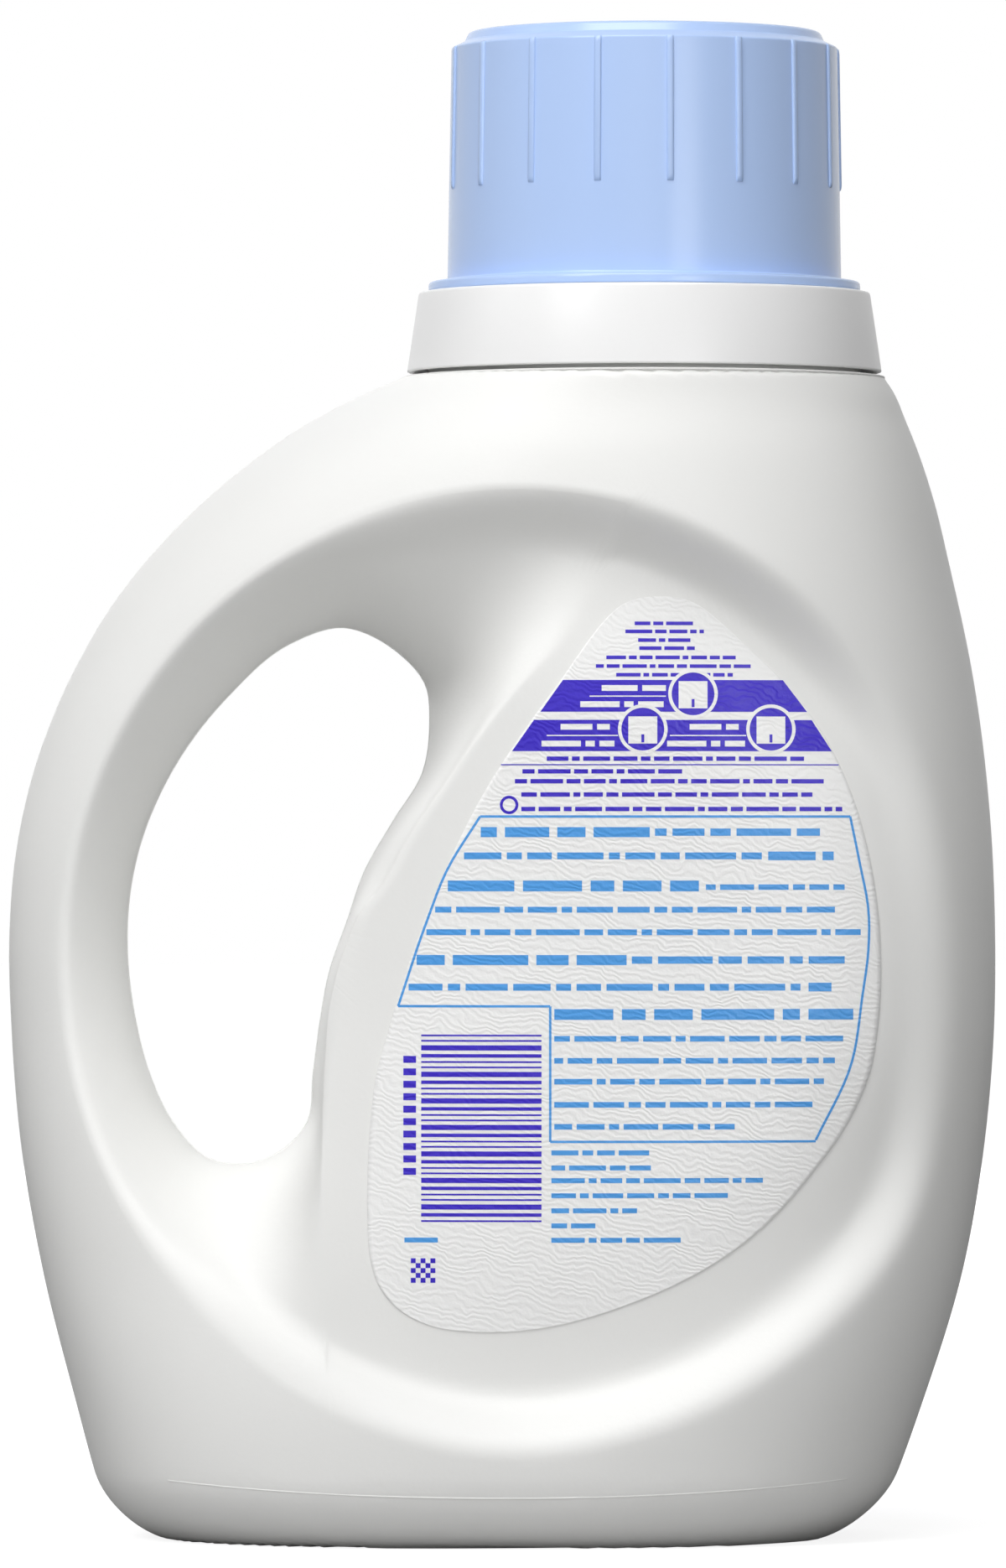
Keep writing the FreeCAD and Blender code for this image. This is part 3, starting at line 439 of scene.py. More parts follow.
def ray_places(angle):
    """Places along each ray from the hole's edge to the outline."""
    hole, crest, rim = reach(hole_table, angle), reach(ridge_table, angle), outline_reach(angle)
    strip = np.minimum(RIM_REACH, (rim - crest) / 2)
    rows = []
    for start, bend, end, band, turn in zip(hole, crest, rim, strip, angle):
        hollow = start + (bend - start) * (np.arange(HOLLOW_ROWS) / HOLLOW_ROWS) ** HOLLOW_EASE
        trial = np.linspace(bend, end - band, PANEL_TRIALS)
        around, distance = recess_polar(STAR_X + trial * math.cos(turn), STAR_Z + trial * math.sin(turn))
        inside = RECESS_RADIUS * RECESS_EASE(around) - distance
        weight = 1 + STEP_WEIGHT * smooth(1 - np.abs(inside - RECESS_BAND / 2) / RECESS_BAND)
        total = np.concatenate([[0], np.cumsum(weight[:-1])])
        panel = np.interp(np.arange(PANEL_ROWS) / PANEL_ROWS * total[-1], total, trial)
        edge = end - band * (1 - np.sin(math.pi / 2 * np.arange(RIM_ROWS + 1) / RIM_ROWS))
        rows.append(np.concatenate([hollow, panel, edge]))
    return np.array(rows)


def settle(x, y, z):
    """The foot's dome and the flat shoulder in place of the form's overrun."""
    bulge = 1 - (x / (PUSH_LENGTH / 2)) ** 2 - (y / (PUSH_WIDTH / 2)) ** 2
    dome = PUSH_UP * np.sqrt(np.clip(bulge, 0, 1))
    return np.where(z < 0, dome, np.minimum(z, SHOULDER))


# The mould's parting line: width and height, in the grip's hole and outside

GRIP_SEAM = (0.5, -0.16)
OUTER_SEAM = (0.4, 0.1)
SEAM_SECTION = [(-0.5, -0.3), (-0.3, 0.6), (0, 1), (0.3, 0.6), (0.5, -0.3)]
SEAM_TRIM = 0.6


def ribbon(build, loop, width, height, closed=True):
    """A low ridge along a loop in the parting plane, standing out from the loop's middle."""
    middle = loop.mean(0)
    ahead = np.roll(loop, -1, 0) - np.roll(loop, 1, 0)
    ahead /= np.linalg.norm(ahead, axis=1)[:, None]
    out = np.stack([ahead[:, 1], -ahead[:, 0]], 1)
    if ((loop - middle) * out).sum() < 0:
        out = -out
    rows = []
    for side, rise in SEAM_SECTION:
        place = loop + out * rise * height
        rows.append(np.stack([place[:, 0], np.full(len(loop), side * width), place[:, 1]], 1))
    build.grid(np.array(rows).transpose(1, 0, 2), closed_u=closed)


def make_bottle():
    """The body's mesh with its ring and neck, and the outline that the parting line follows."""
    angle = ray_angles()
    places = ray_places(angle)
    x = STAR_X + places * np.cos(angle)[:, None]
    z = STAR_Z + places * np.sin(angle)[:, None]
    y = half_depth(x, z)
    y[:, 0] = 0
    y[:, -1] = 0
    build = Build()
    for side in (1, -1):
        build.grid(np.stack([x, side * y, settle(x, y, z)], -1), closed_u=True)
    verts = np.array(build.verts)
    over_neck = (verts[:, 2] > SHOULDER - 0.01) & (np.hypot(verts[:, 0] - NECK_X, verts[:, 1]) < NECK_HOLE)
    build.faces = [face for face in build.faces if not any(over_neck[i] for i in face)]
    neck = arc_corners([(41.4, SHOULDER - RING_SINK), (RING_RADIUS, SHOULDER - 0.28),
                        (RING_RADIUS, SHOULDER + RING_RISE), (NECK_RADIUS, SHOULDER + RING_RISE),
                        (NECK_RADIUS, 208.8), (BEAD_RADIUS, 209.2), (BEAD_RADIUS, 210.2),
                        (NECK_RADIUS, 210.6), (NECK_RADIUS, NECK_TOP), (NECK_BORE, NECK_TOP),
                        (NECK_BORE, NECK_INSIDE_FOOT)],
                       [0, 0.05, 0.15, 0.2, 0.2, 0.2, 0.2, 0.2, 0.3, 0.3, 0], 3)
    build.grid(turned(lambda angle: neck, NECK_SEGMENTS), closed_u=True)
    rim = np.stack([x[:, -1], z[:, -1]], 1)
    rim = rim[(rim[:, 1] > SEAM_TRIM) & (rim[:, 1] < SHOULDER - SEAM_TRIM)]
    start = int(np.argmax(np.hypot(*(rim - np.roll(rim, 1, 0)).T)))
    return build, np.roll(rim, -start, 0)


build, outline = make_bottle()
bottle = new_object("bottle_skin", build.verts, build.faces, "bottle")
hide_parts("bottle")

seam = Build()
ribbon(seam, hole_edge[::-1], *GRIP_SEAM)
parting = new_object("parting_line_in_grip", seam.verts, seam.faces, "bottle")

# The line of the mould's base insert, a low step round the foot

INSERT_LEVEL, INSERT_RISE = 9.2, 2.4
INSERT_LEFT, INSERT_RIGHT, INSERT_POINTS = -58.0, 60.0, 120
INSERT_SECTION = [(-0.25, -0.1), (-0.08, 0.06), (0.08, 0.06), (0.25, -0.1)]
line_x = np.linspace(INSERT_LEFT, INSERT_RIGHT, INSERT_POINTS)
seam = Build()
for side in (1, -1):
    rows = []
    for offset, lift in INSERT_SECTION:
        line_z = INSERT_LEVEL + INSERT_RISE * (line_x / INSERT_RIGHT) ** 2 + offset
        rows.append(np.stack([line_x, side * (half_depth(line_x, line_z) + lift), line_z], 1))
    seam.grid(np.array(rows))
insert_line = new_object("base_insert_line", seam.verts, seam.faces, "bottle")

seam = Build()
ribbon(seam, outline, *OUTER_SEAM, closed=False)
outer_parting = new_object("parting_line_outside", seam.verts, seam.faces, "bottle")


# The collar with its spout

COLLAR_TOP = 219.3
COLLAR_FOOT = 205.2
SOCKET_RADIUS = 35.7
SOCKET_FLOOR = 202.3
SPOUT_FOOT = 199.8
SPOUT_LIP = 243.3
SPOUT_FALL = 17.0
SPOUT_RADIUS, SPOUT_TIP_RADIUS = 18.0, 16.4
SPOUT_TAPER = 1.6
SPOUT_WALL = 1.3
FALL_REACH = 21.0
COLLAR_SEGMENTS = 200


def collar_profile(angle):
    """The collar's section at an angle; only the spout's lip changes with it."""
    run = SPOUT_TIP_RADIUS - SPOUT_TIP_RADIUS * math.cos(angle)
    lip = SPOUT_LIP - SPOUT_FALL * run / (SPOUT_TIP_RADIUS + FALL_REACH)
    tip = SPOUT_RADIUS - SPOUT_TAPER * (lip - SPOUT_FOOT) / (SPOUT_LIP - SPOUT_FOOT)
    return arc_corners(
        [(41.9, COLLAR_FOOT), (39.8, COLLAR_TOP), (SOCKET_RADIUS, COLLAR_TOP),
         (SOCKET_RADIUS, SOCKET_FLOOR), (SPOUT_RADIUS, SPOUT_FOOT), (tip, lip), (tip - SPOUT_WALL, lip),
         (16.7, 198.5), (36.8, 201.0), (36.8, 217.7), (38.4, 217.7), (40.5, COLLAR_FOOT)],
        [0.35, 0.7, 0.5, 1.2, 1.0, 0.5, 0.5, 0.6, 0.6, 0.3, 0.3, 0.2], 4)


build = Build()
build.grid(turned(collar_profile, COLLAR_SEGMENTS), closed_u=True, closed_v=True)
collar = new_object("collar_moulding", build.verts, build.faces, "bottle")
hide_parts("pour_collar")


def cut_box(piece, low, high):
    """Cuts a box out of a piece's mesh."""
    verts = [(x, y, z) for x in (low[0], high[0]) for y in (low[1], high[1]) for z in (low[2], high[2])]
    mesh = bpy.data.meshes.new("cutter")
    mesh.from_pydata([tuple(value * MM for value in vert) for vert in verts], [],
                     [(0, 1, 3, 2), (4, 6, 7, 5), (0, 4, 5, 1), (2, 3, 7, 6), (0, 2, 6, 4), (1, 5, 7, 3)])
    cutter = bpy.data.objects.new("cutter", mesh)
    bpy.context.scene.collection.objects.link(cutter)
    change = piece.modifiers.new("cut", "BOOLEAN")
    change.operation = "DIFFERENCE"
    change.object = cutter
    change.solver = "EXACT"
    graph = bpy.context.evaluated_depsgraph_get()
    result = bpy.data.meshes.new_from_object(piece.evaluated_get(graph))
    piece.modifiers.clear()
    piece.data = result
    bpy.data.objects.remove(cutter)


DRAIN_FAR, DRAIN_NEAR = 22, 9
DRAIN_HALF_WIDTH = 3.5
DRAIN_LOW, DRAIN_HIGH = 196.8, 250
cut_box(collar, (NECK_X - DRAIN_FAR, -DRAIN_HALF_WIDTH, DRAIN_LOW),
        (NECK_X - DRAIN_NEAR, DRAIN_HALF_WIDTH, DRAIN_HIGH))


THREAD_PITCH, THREAD_WIDTH = 6.0, 1.8
THREAD_SECTION = [(-0.5, -0.15), (-0.22, 1), (0.22, 1), (0.5, -0.15)]
THREAD_SINK = 0.05
STEPS_PER_TURN = 96
FADE_STEPS = 10


def thread(build, radius, phase, rise, low, turns, inward=False):
    """A helical thread on a wall about the neck's axis, fading out at both ends."""
    count = int(turns * STEPS_PER_TURN)
    rows = []
    for i in range(count + 1):
        angle = phase + math.tau * turns * i / count
        fade = smooth(min(i, count - i) / FADE_STEPS)
        height = low + THREAD_PITCH * turns * i / count
        row = []
        for up, out in THREAD_SECTION:
            away = radius + (-1 if inward else 1) * (out * rise * fade - THREAD_SINK * (1 - fade))
            row.append((NECK_X + away * math.cos(angle), away * math.sin(angle), height + up * THREAD_WIDTH))
        rows.append(row)
    build.grid(rows)


build = Build()
for start in (0.4, 0.4 + math.pi):
    thread(build, SOCKET_RADIUS, start, rise=0.45, low=206.0, turns=1.4, inward=True)
collar_thread = new_object("collar_thread", build.verts, build.faces, "bottle")


# The measuring cup

MOUTH_RADIUS, MOUTH_FOOT = 34.5, 205.9
FLANGE_RADIUS, FLANGE_FOOT = 38.1, 219.4
WALL_FOOT, WALL_FOOT_RADIUS = 221.3, 34.75
WALL_TOP, WALL_TOP_RADIUS = 262.4, 34.05
WALL_SLOPE = (WALL_FOOT_RADIUS - WALL_TOP_RADIUS) / (WALL_TOP - WALL_FOOT)
CUP_TOP = 265.2
CUP_SEGMENTS = 256
cup_shape = arc_corners(
    [(32.9, MOUTH_FOOT), (MOUTH_RADIUS, MOUTH_FOOT), (MOUTH_RADIUS, FLANGE_FOOT),
     (FLANGE_RADIUS, FLANGE_FOOT), (FLANGE_RADIUS, 221.1), (WALL_FOOT_RADIUS, WALL_FOOT),
     (WALL_TOP_RADIUS, WALL_TOP), (31.75, 263.5), (31.0, CUP_TOP), (0.0, CUP_TOP), (0.0, 263.6),
     (29.8, 263.6), (32.45, 260.5), (33.2, WALL_FOOT)],
    [0.4, 0.5, 0.4, 0.35, 0.75, 0.5, 0.55, 0.45, 1.1, 0, 0, 1.0, 1.5, 0.5], 5)
build = Build()
build.grid(turned(lambda angle: cup_shape, CUP_SEGMENTS), closed_u=True, closed_v=True)

# The grip ribs: their section across and out, and how far they stand out at each height

RIBS = 17
RIB_PHASE = math.radians(6.8)
RIB_SECTION = [(-0.6, -0.2), (-0.58, 0.22), (-0.4, 0.4), (0.4, 0.4), (0.58, 0.22), (0.6, -0.2)]
RIB_RUN = [(237.2, 0.0), (237.35, 0.45), (237.7, 0.8), (238.2, 1.0), (250.0, 1.0), (261.4, 1.0),
           (262.2, 0.7), (262.45, 0.0)]
for number in range(RIBS):
    turn = -math.pi / 2 + RIB_PHASE + number * math.tau / RIBS
    rows = []
    for height, share in RIB_RUN:
        wall = WALL_TOP_RADIUS + WALL_SLOPE * (WALL_TOP - height)
        row = []
        for across, out in RIB_SECTION:
            away = wall + (out * share if out > 0 else out)
            row.append((NECK_X + away * math.cos(turn) - across * math.sin(turn),
                        away * math.sin(turn) + across * math.cos(turn), height))
        rows.append(row)
    build.grid(rows)
for start in (0.1, 0.1 + math.pi):
    thread(build, MOUTH_RADIUS, start, rise=0.5, low=207.5, turns=1.3)
cup = new_object("measuring_cup", build.verts, build.faces, "cap")
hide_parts("measuring_cap")


# The labels and their print. Side places and heights are in millimetres, as on the bottle.

LABEL_OFFSET, LABEL_LEVEL = 21.2, 101.3
LABEL_WIDTH, LABEL_HEIGHT = 89.0, 127.2
LABEL_LIFT, LABEL_FILM = 0.08, 0.1
INK = 0.03
FINE = 2.0
FRONT, BACK = 1, -1
LABEL_SHAPE = [(0.0, -0.53, -0.525), (0.004, -0.7, -0.35), (0.015, -0.805, -0.19), (0.035, -0.895, -0.005),
               (0.065, -0.96, 0.205), (0.1, -0.99, 0.385), (0.15, -1.0, 0.565), (0.21, -1.0, 0.72),
               (0.28, -0.99, 0.865), (0.35, -0.965, 0.955), (0.42, -0.91, 0.99), (0.5, -0.84, 1.0),
               (0.58, -0.755, 0.985), (0.66, -0.655, 0.945), (0.74, -0.535, 0.875), (0.82, -0.385, 0.76),
               (0.89, -0.24, 0.6), (0.94, -0.14, 0.45), (0.97, -0.07, 0.355), (0.988, -0.01, 0.285),
               (0.997, 0.055, 0.22), (1.0, 0.135, 0.145)]


def bow(level):
    """A share of the label's height as a share of half a turn, so that its round ends stay smooth."""
    return np.arccos(1 - 2 * np.asarray(level, float)) / math.pi


label_left = Curve([(bow(level), left) for level, left, right in LABEL_SHAPE])
label_right = Curve([(bow(level), right) for level, left, right in LABEL_SHAPE])
LABEL_ROWS, LABEL_COLUMNS = 160, 90


class Film:
    """Thin slabs of one colour on one label, each over a grid of side places and heights."""

    def __init__(self, side, low, high):
        self.side, self.low, self.high = side, low, high
        self.build = Build()

    def slab(self, x, z):
        """A closed slab over a grid of side places and heights, bowed as the panel is."""
        depth = panelled(x, z)
        skins = [np.stack([x, self.side * (depth + lift), z], -1) for lift in (self.low, self.high)]
        for skin in skins:
            self.build.grid(skin)
        rims = [np.vstack([skin[0], skin[1:, -1], skin[-1, -2::-1], skin[-2:0:-1, 0]]) for skin in skins]
        self.build.grid(np.array(rims).transpose(1, 0, 2), closed_u=True)

    def outline(self, inset, rows, columns):
        """The label's own outline, drawn in by inset."""
        level = (1 - np.cos(math.pi * np.linspace(0, 1, rows))) / 2
        left, right = [LABEL_OFFSET + edge(bow(level))[:, None] * LABEL_WIDTH / 2
                       for edge in (label_left, label_right)]
        middle, half = (left + right) / 2, (right - left) / 2
        x = middle + half * (1 - 2 * inset / LABEL_WIDTH) * np.linspace(-1, 1, columns)
        z = LABEL_LEVEL + (level - 0.5) * (LABEL_HEIGHT - 2 * inset)
        self.slab(x, np.broadcast_to(z[:, None], x.shape))

    def field(self, low, high, left, right):
        """A field between two heights; its ends are given at the lower and at the upper height."""
        up = np.linspace(0, 1, 2 + int((high - low) / FINE))[:, None]
        start, end = left[0] + (left[1] - left[0]) * up, right[0] + (right[1] - right[0]) * up
        x = start + (end - start) * np.linspace(0, 1, 2 + int((right[0] - left[0]) / FINE))
        self.slab(x, np.broadcast_to(low + (high - low) * up, x.shape))

    def block(self, low, high, left, right):
        """A field with upright ends."""
        self.field(low, high, (left, left), (right, right))

    def ring(self, x, z, inner, outer):
        """A ring, or a disc where the inner radius is 0."""
        turn = np.radians(np.linspace(0.0, 360.0, RING_POINTS))[:, None]
        reach_out = np.linspace(inner, outer, RING_ROWS)
        self.slab(x + reach_out * np.cos(turn), z + reach_out * np.sin(turn))

    def line(self, points, width):
        """A line of even width through (x, z) points."""
        points = np.array(points, float)
        ahead = np.gradient(points, axis=0)
        ahead /= np.linalg.norm(ahead, axis=1)[:, None]
        across = np.stack([-ahead[:, 1], ahead[:, 0]], 1) * width / 2
        edges = np.stack([points - across, points + across], 1)
        self.slab(edges[:, :, 0], edges[:, :, 1])

    def dashes(self, level, left, right, height):
        """A row of plain dashes of mixed lengths."""
        place, number = left, int(7 * level)
        while place < right - height:
            length = min(height * DASHES[number % len(DASHES)], right - place)
            self.block(level - height / 2, level + height / 2, place, place + length)
            place += length + height * DASH_GAP
            number += 1


DASHES = (5.5, 2.2, 3.6, 6.8, 1.6, 4.4, 2.8, 7.5, 3.2, 5.0, 1.8, 6.2)
DASH_GAP = 0.8
RING_POINTS, RING_ROWS = 49, 4


def make_label(name, side):
    """The bare film of one label."""
    film = Film(side, LABEL_LIFT, LABEL_LIFT + LABEL_FILM)
    film.outline(0, LABEL_ROWS, LABEL_COLUMNS)
    piece = new_object(name, film.build.verts, film.build.faces, "bottle")
    return piece


front_label = make_label("label_film_front", FRONT)
back_label = make_label("label_film_back", BACK)
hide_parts("front_label")
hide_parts("back_label")


def ink_layer(side, number):
    """Films of ink lie one over the other on the label."""
    top = LABEL_LIFT + LABEL_FILM + number * INK
    return Film(side, top - 2 * INK, top)


violet, blue = ink_layer(BACK, 1), ink_layer(BACK, 1)
white, over = ink_layer(BACK, 2), ink_layer(BACK, 3)

# Rows of small violet dashes: height, left end, right end

TOP_ROWS = [(160.2, 22.9, 33.2), (158.8, 21.3, 34.9), (157.3, 23.5, 33.6), (155.9, 23.7, 34.2),
            (154.3, 18.0, 40.4), (152.8, 16.2, 43.0), (151.3, 19.7, 39.9)]
MIDDLE_ROWS = [(136.8, 7.7, 52.5), (134.6, 3.5, 31.3), (132.9, 2.2, 56.8), (130.6, 3.3, 53.7),
               (128.1, 3.3, 58.9)]
TOP_SIZE, MIDDLE_SIZE, BAND_SIZE, LOW_SIZE = 0.62, 0.75, 1.0, 0.85
HEAVY_SHARE, LIGHT_SHARE, HEAVY_GAP = 0.58, 0.42, 0.9
for level, left, right in TOP_ROWS:
    violet.dashes(level, left, right, TOP_SIZE)
for level, left, right in MIDDLE_ROWS:
    violet.dashes(level, left, right, MIDDLE_SIZE)
violet.block(135.65, 135.85, -0.2, 58.3)
violet.ring(1.2, 128.8, 1.1, 1.6)

# Two violet bands with white lines and three ringed discs

violet.field(144.9, 150.4, (6.6, 10.5), (52.8, 48.6))
violet.field(138.1, 143.5, (1.7, 5.5), (57.1, 53.6))
BAND_ROWS = [(149.0, 17.2, 28.3), (146.2, 13.5, 28.3), (142.3, 10.1, 19.4), (139.4, 6.8, 19.4),
             (142.3, 32.4, 41.9), (139.4, 28.5, 42.0)]
for level, left, right in BAND_ROWS:
    white.dashes(level, left, right, BAND_SIZE)
HAIRLINE = 0.1
for level, left, right in [(147.6, 15.1, 28.3), (140.8, 7.7, 20.0), (140.8, 29.0, 42.2)]:
    white.block(level - HAIRLINE, level + HAIRLINE, left, right)
DISCS = [(33.0, 148.0), (24.3, 141.9), (46.5, 141.9)]
DISC_RADIUS, DISC_RING_INNER, DISC_RING_OUTER = 3.75, 3.7, 4.3
for x, z in DISCS:
    violet.ring(x, z, 0.0, DISC_RADIUS)
    white.ring(x, z, DISC_RING_INNER, DISC_RING_OUTER)
    white.block(z - 2.5, z + 2.2, x - 2.5, x + 2.5)
    over.block(z - 2.3, z - 0.9, x - 0.25, x + 0.25)

# The light blue frame and its rows: height, left end, end of the heavy part, right end, size

FRAME_SIDE = Curve([(70.8, 54.3), (83.4, 60.3), (95.7, 62.4), (104.4, 63.5), (110.2, 63.5),
                    (119.0, 61.9), (126.8, 60.3)])
FRAME_STEEP = Curve([(94.0, -18.0), (108.5, -13.1), (118.0, -9.3), (126.8, -3.8)])
FRAME_LINE = 0.42
FRAME_TOP, FRAME_MIDDLE, FRAME_FOOT, SIDE_FOOT = 126.8, 94.0, 70.6, 70.8
NOTCH, NOTCH_LINE = 8.3, 8.1
side_levels = np.linspace(SIDE_FOOT, FRAME_TOP, 30)
blue.line(np.stack([FRAME_SIDE(side_levels), side_levels], 1), FRAME_LINE)
steep_levels = np.linspace(FRAME_MIDDLE, FRAME_TOP, 18)
blue.line(np.stack([FRAME_STEEP(steep_levels), steep_levels], 1), FRAME_LINE)
for level, left, right in [(FRAME_TOP, -3.8, 60.3), (FRAME_MIDDLE, -18.0, NOTCH),
                           (FRAME_FOOT, NOTCH, 54.3)]:
    blue.block(level - FRAME_LINE / 2, level + FRAME_LINE / 2, left, right)
blue.block(FRAME_FOOT, FRAME_MIDDLE, NOTCH_LINE, NOTCH_LINE + FRAME_LINE)
BLUE_ROWS = [(124.1, -3.7, 25.5, 55.6, 3.0), (120.0, -6.6, -6.6, 44.9, 2.8), (114.8, -9.4, 34.0, 34.0, 3.2),
             (110.7, -11.6, -11.6, 57.6, 2.4), (106.8, -13.1, -13.1, 62.8, 2.4),
             (102.0, -14.8, 21.5, 59.3, 3.0), (97.3, -16.2, -16.2, 51.6, 2.8),
             (92.6, 9.0, 60.8, 60.8, 3.2), (88.4, 9.0, 9.0, 60.3, 2.3), (84.6, 9.0, 9.0, 57.6, 2.3),
             (81.0, 9.0, 9.0, 55.7, 2.3), (77.0, 9.0, 9.0, 53.7, 2.3), (73.2, 9.0, 9.0, 41.1, 2.3)]
for level, left, heavy, right, height in BLUE_ROWS:
    blue.dashes(level, left, heavy, height * HEAVY_SHARE)
    blue.dashes(level, heavy + (HEAVY_GAP if heavy > left else 0), right, height * LIGHT_SHARE)
for level, left, right, size in [(120.0, 46.0, 57.4, 1.5), (114.6, 35.2, 59.3, 0.95),
                                 (97.3, 53.0, 57.0, 1.5)]:
    blue.dashes(level, left, right, size)
LOW_ROWS = [(68.7, 8.5, 25.4), (66.1, 8.5, 25.7), (63.9, 8.5, 45.1), (61.3, 8.5, 40.5), (58.7, 8.5, 23.3),
            (56.1, 8.5, 16.1), (53.6, 8.5, 32.0), (53.6, -16.9, -10.0)]
for level, left, right in LOW_ROWS:
    blue.dashes(level, left, right, LOW_SIZE)

# A stack of violet bars in a plain repeating pattern, a column of squares and a small checker

BAR_THICKNESS = (0.3, 0.3, 0.9, 0.6)
BAR_GAP = 0.62
BARS_TOP, BARS_BOTTOM, BARS_LEFT, BARS_RIGHT = 89.1, 57.0, -14.0, 6.8
level, number = BARS_TOP, 0
while level > BARS_BOTTOM:
    thick = BAR_THICKNESS[number % len(BAR_THICKNESS)]
    violet.block(level - thick, level, BARS_LEFT, BARS_RIGHT)
    level -= thick + BAR_GAP
    number += 1
SQUARES, SQUARE_STEP = 10, 2.15
SQUARE_LOW, SQUARE_HIGH, SQUARE_LEFT, SQUARE_RIGHT = 84.2, 85.4, -17.1, -14.9
for number in range(SQUARES):
    drop = SQUARE_STEP * number
    violet.block(SQUARE_LOW - drop, SQUARE_HIGH - drop, SQUARE_LEFT, SQUARE_RIGHT)
CHECKS, CHECK_SIZE = 5, 0.85
CHECK_LOW, CHECK_LEFT = 46.2, -15.8
for across in range(CHECKS):
    for up in range(CHECKS):
        if (across + up) % 2 == 0:
            low, left = CHECK_LOW + CHECK_SIZE * up, CHECK_LEFT + CHECK_SIZE * across
            violet.block(low, low + CHECK_SIZE, left, left + CHECK_SIZE)

# The other side's print: a violet field with a light blue sweep and a white disc

front_violet, front_blue = ink_layer(FRONT, 1), ink_layer(FRONT, 2)
front_white = ink_layer(FRONT, 3)
front_violet.outline(1.6, 110, 60)
SWEEP_LOW = Curve([(-20.0, 58.0), (5.0, 66.0), (35.0, 78.0), (63.0, 96.0)])
SWEEP_THICK = Curve([(-20.0, 7.0), (20.0, 13.0), (63.0, 5.0)])
sweep_x = np.linspace(-20.6, 62.6, 60)
sweep_z = SWEEP_LOW(sweep_x)[:, None] + SWEEP_THICK(sweep_x)[:, None] * np.linspace(0, 1, 8)
front_blue.slab(np.broadcast_to(sweep_x[:, None], sweep_z.shape), sweep_z)
FRONT_DISC = (24.0, 113.0)
FRONT_DISC_RADIUS, FRONT_RING_RADIUS = 16.5, 19.0
front_white.ring(*FRONT_DISC, 0.0, FRONT_DISC_RADIUS)
front_blue.ring(*FRONT_DISC, FRONT_DISC_RADIUS, FRONT_RING_RADIUS)
for level, left, right in [(52.0, -4.0, 34.0), (47.5, -1.0, 26.0)]:
    front_white.block(level, level + 1.8, left, right)

PRINTS = {}
for name, film in [("print_violet_back", violet), ("print_blue_back", blue), ("print_white_back", white),
                   ("print_violet_over_back", over), ("print_violet_front", front_violet),
                   ("print_blue_front", front_blue), ("print_white_front", front_white)]:
    PRINTS[name] = new_object(name, film.build.verts, film.build.faces, "bottle", False)


# Materials

def srgb(red, green, blue):
    """Linear colour from screen values of 0 to 255."""
    linear = tuple(v / 255 / 12.92 if v <= 10 else ((v / 255 + 0.055) / 1.055) ** 2.4
                   for v in (red, green, blue))
    return linear + (1.0,)


def material(name, colour, roughness, **sockets):
    """A Principled material, with its tree and its shader."""
    made = bpy.data.materials.new(name)
    made.use_nodes = True
    tree = made.node_tree
    shader = tree.nodes["Principled BSDF"]
    shader.inputs["Base Color"].default_value = colour
    shader.inputs["Roughness"].default_value = roughness
    for socket, value in sockets.items():
        shader.inputs[socket.replace("_", " ")].default_value = value
    return made, tree, shader


def bump(tree, shader, layers):
    """Adds bumps: (noise scale, stretch, strength, distance in mm) for each layer."""
    place = tree.nodes.new("ShaderNodeTexCoord")
    last = None
    for scale, stretch, strength, distance in layers:
        mapping = tree.nodes.new("ShaderNodeMapping")
        mapping.inputs["Scale"].default_value = stretch
        tree.links.new(place.outputs["Object"], mapping.inputs["Vector"])
        noise = tree.nodes.new("ShaderNodeTexNoise")
        noise.inputs["Scale"].default_value = scale
        noise.inputs["Detail"].default_value = 2.0
        tree.links.new(mapping.outputs["Vector"], noise.inputs["Vector"])
        rough = tree.nodes.new("ShaderNodeBump")
        rough.inputs["Strength"].default_value = strength
        rough.inputs["Distance"].default_value = distance * MM
        tree.links.new(noise.outputs["Fac"], rough.inputs["Height"])
        if last:
            tree.links.new(last.outputs["Normal"], rough.inputs["Normal"])
        last = rough
    tree.links.new(last.outputs["Normal"], shader.inputs["Normal"])


# Places of the colour sockets on a mix node: first and second input, and output

MIX_FIRST, MIX_SECOND, MIX_RESULT = 6, 7, 2


def tint(tree, shader, colour, darker, scale, stretch=(1, 1, 1)):
    """Lets the colour drift a little over the surface."""
    place = tree.nodes.new("ShaderNodeTexCoord")
    mapping = tree.nodes.new("ShaderNodeMapping")
    mapping.inputs["Scale"].default_value = stretch
    noise = tree.nodes.new("ShaderNodeTexNoise")
    noise.inputs["Scale"].default_value = scale
    mix = tree.nodes.new("ShaderNodeMix")
    mix.data_type = "RGBA"
    mix.inputs[MIX_FIRST].default_value = darker
    mix.inputs[MIX_SECOND].default_value = colour
    tree.links.new(place.outputs["Object"], mapping.inputs["Vector"])
    tree.links.new(mapping.outputs["Vector"], noise.inputs["Vector"])
    tree.links.new(noise.outputs["Fac"], mix.inputs[0])
    tree.links.new(mix.outputs[MIX_RESULT], shader.inputs["Base Color"])


RIPPLE_SPACING = 1.1
RIPPLE_TILT = math.radians(-14)
WAVE_FACTOR = 20
RIPPLE_SCALE = math.tau / (WAVE_FACTOR * RIPPLE_SPACING * MM)


def blown_plastic():
    """The body's white plastic, satin and slightly uneven."""
    colour = srgb(243, 243, 241)
    made, tree, shader = material("blown_plastic", colour, 0.42, Specular_IOR_Level=0.3)
    tint(tree, shader, colour, srgb(239, 239, 237), 30)
    bump(tree, shader, [(700, (1, 1, 1), 0.35, 0.08), (120, (1, 1, 1), 0.12, 0.25)])
    return made


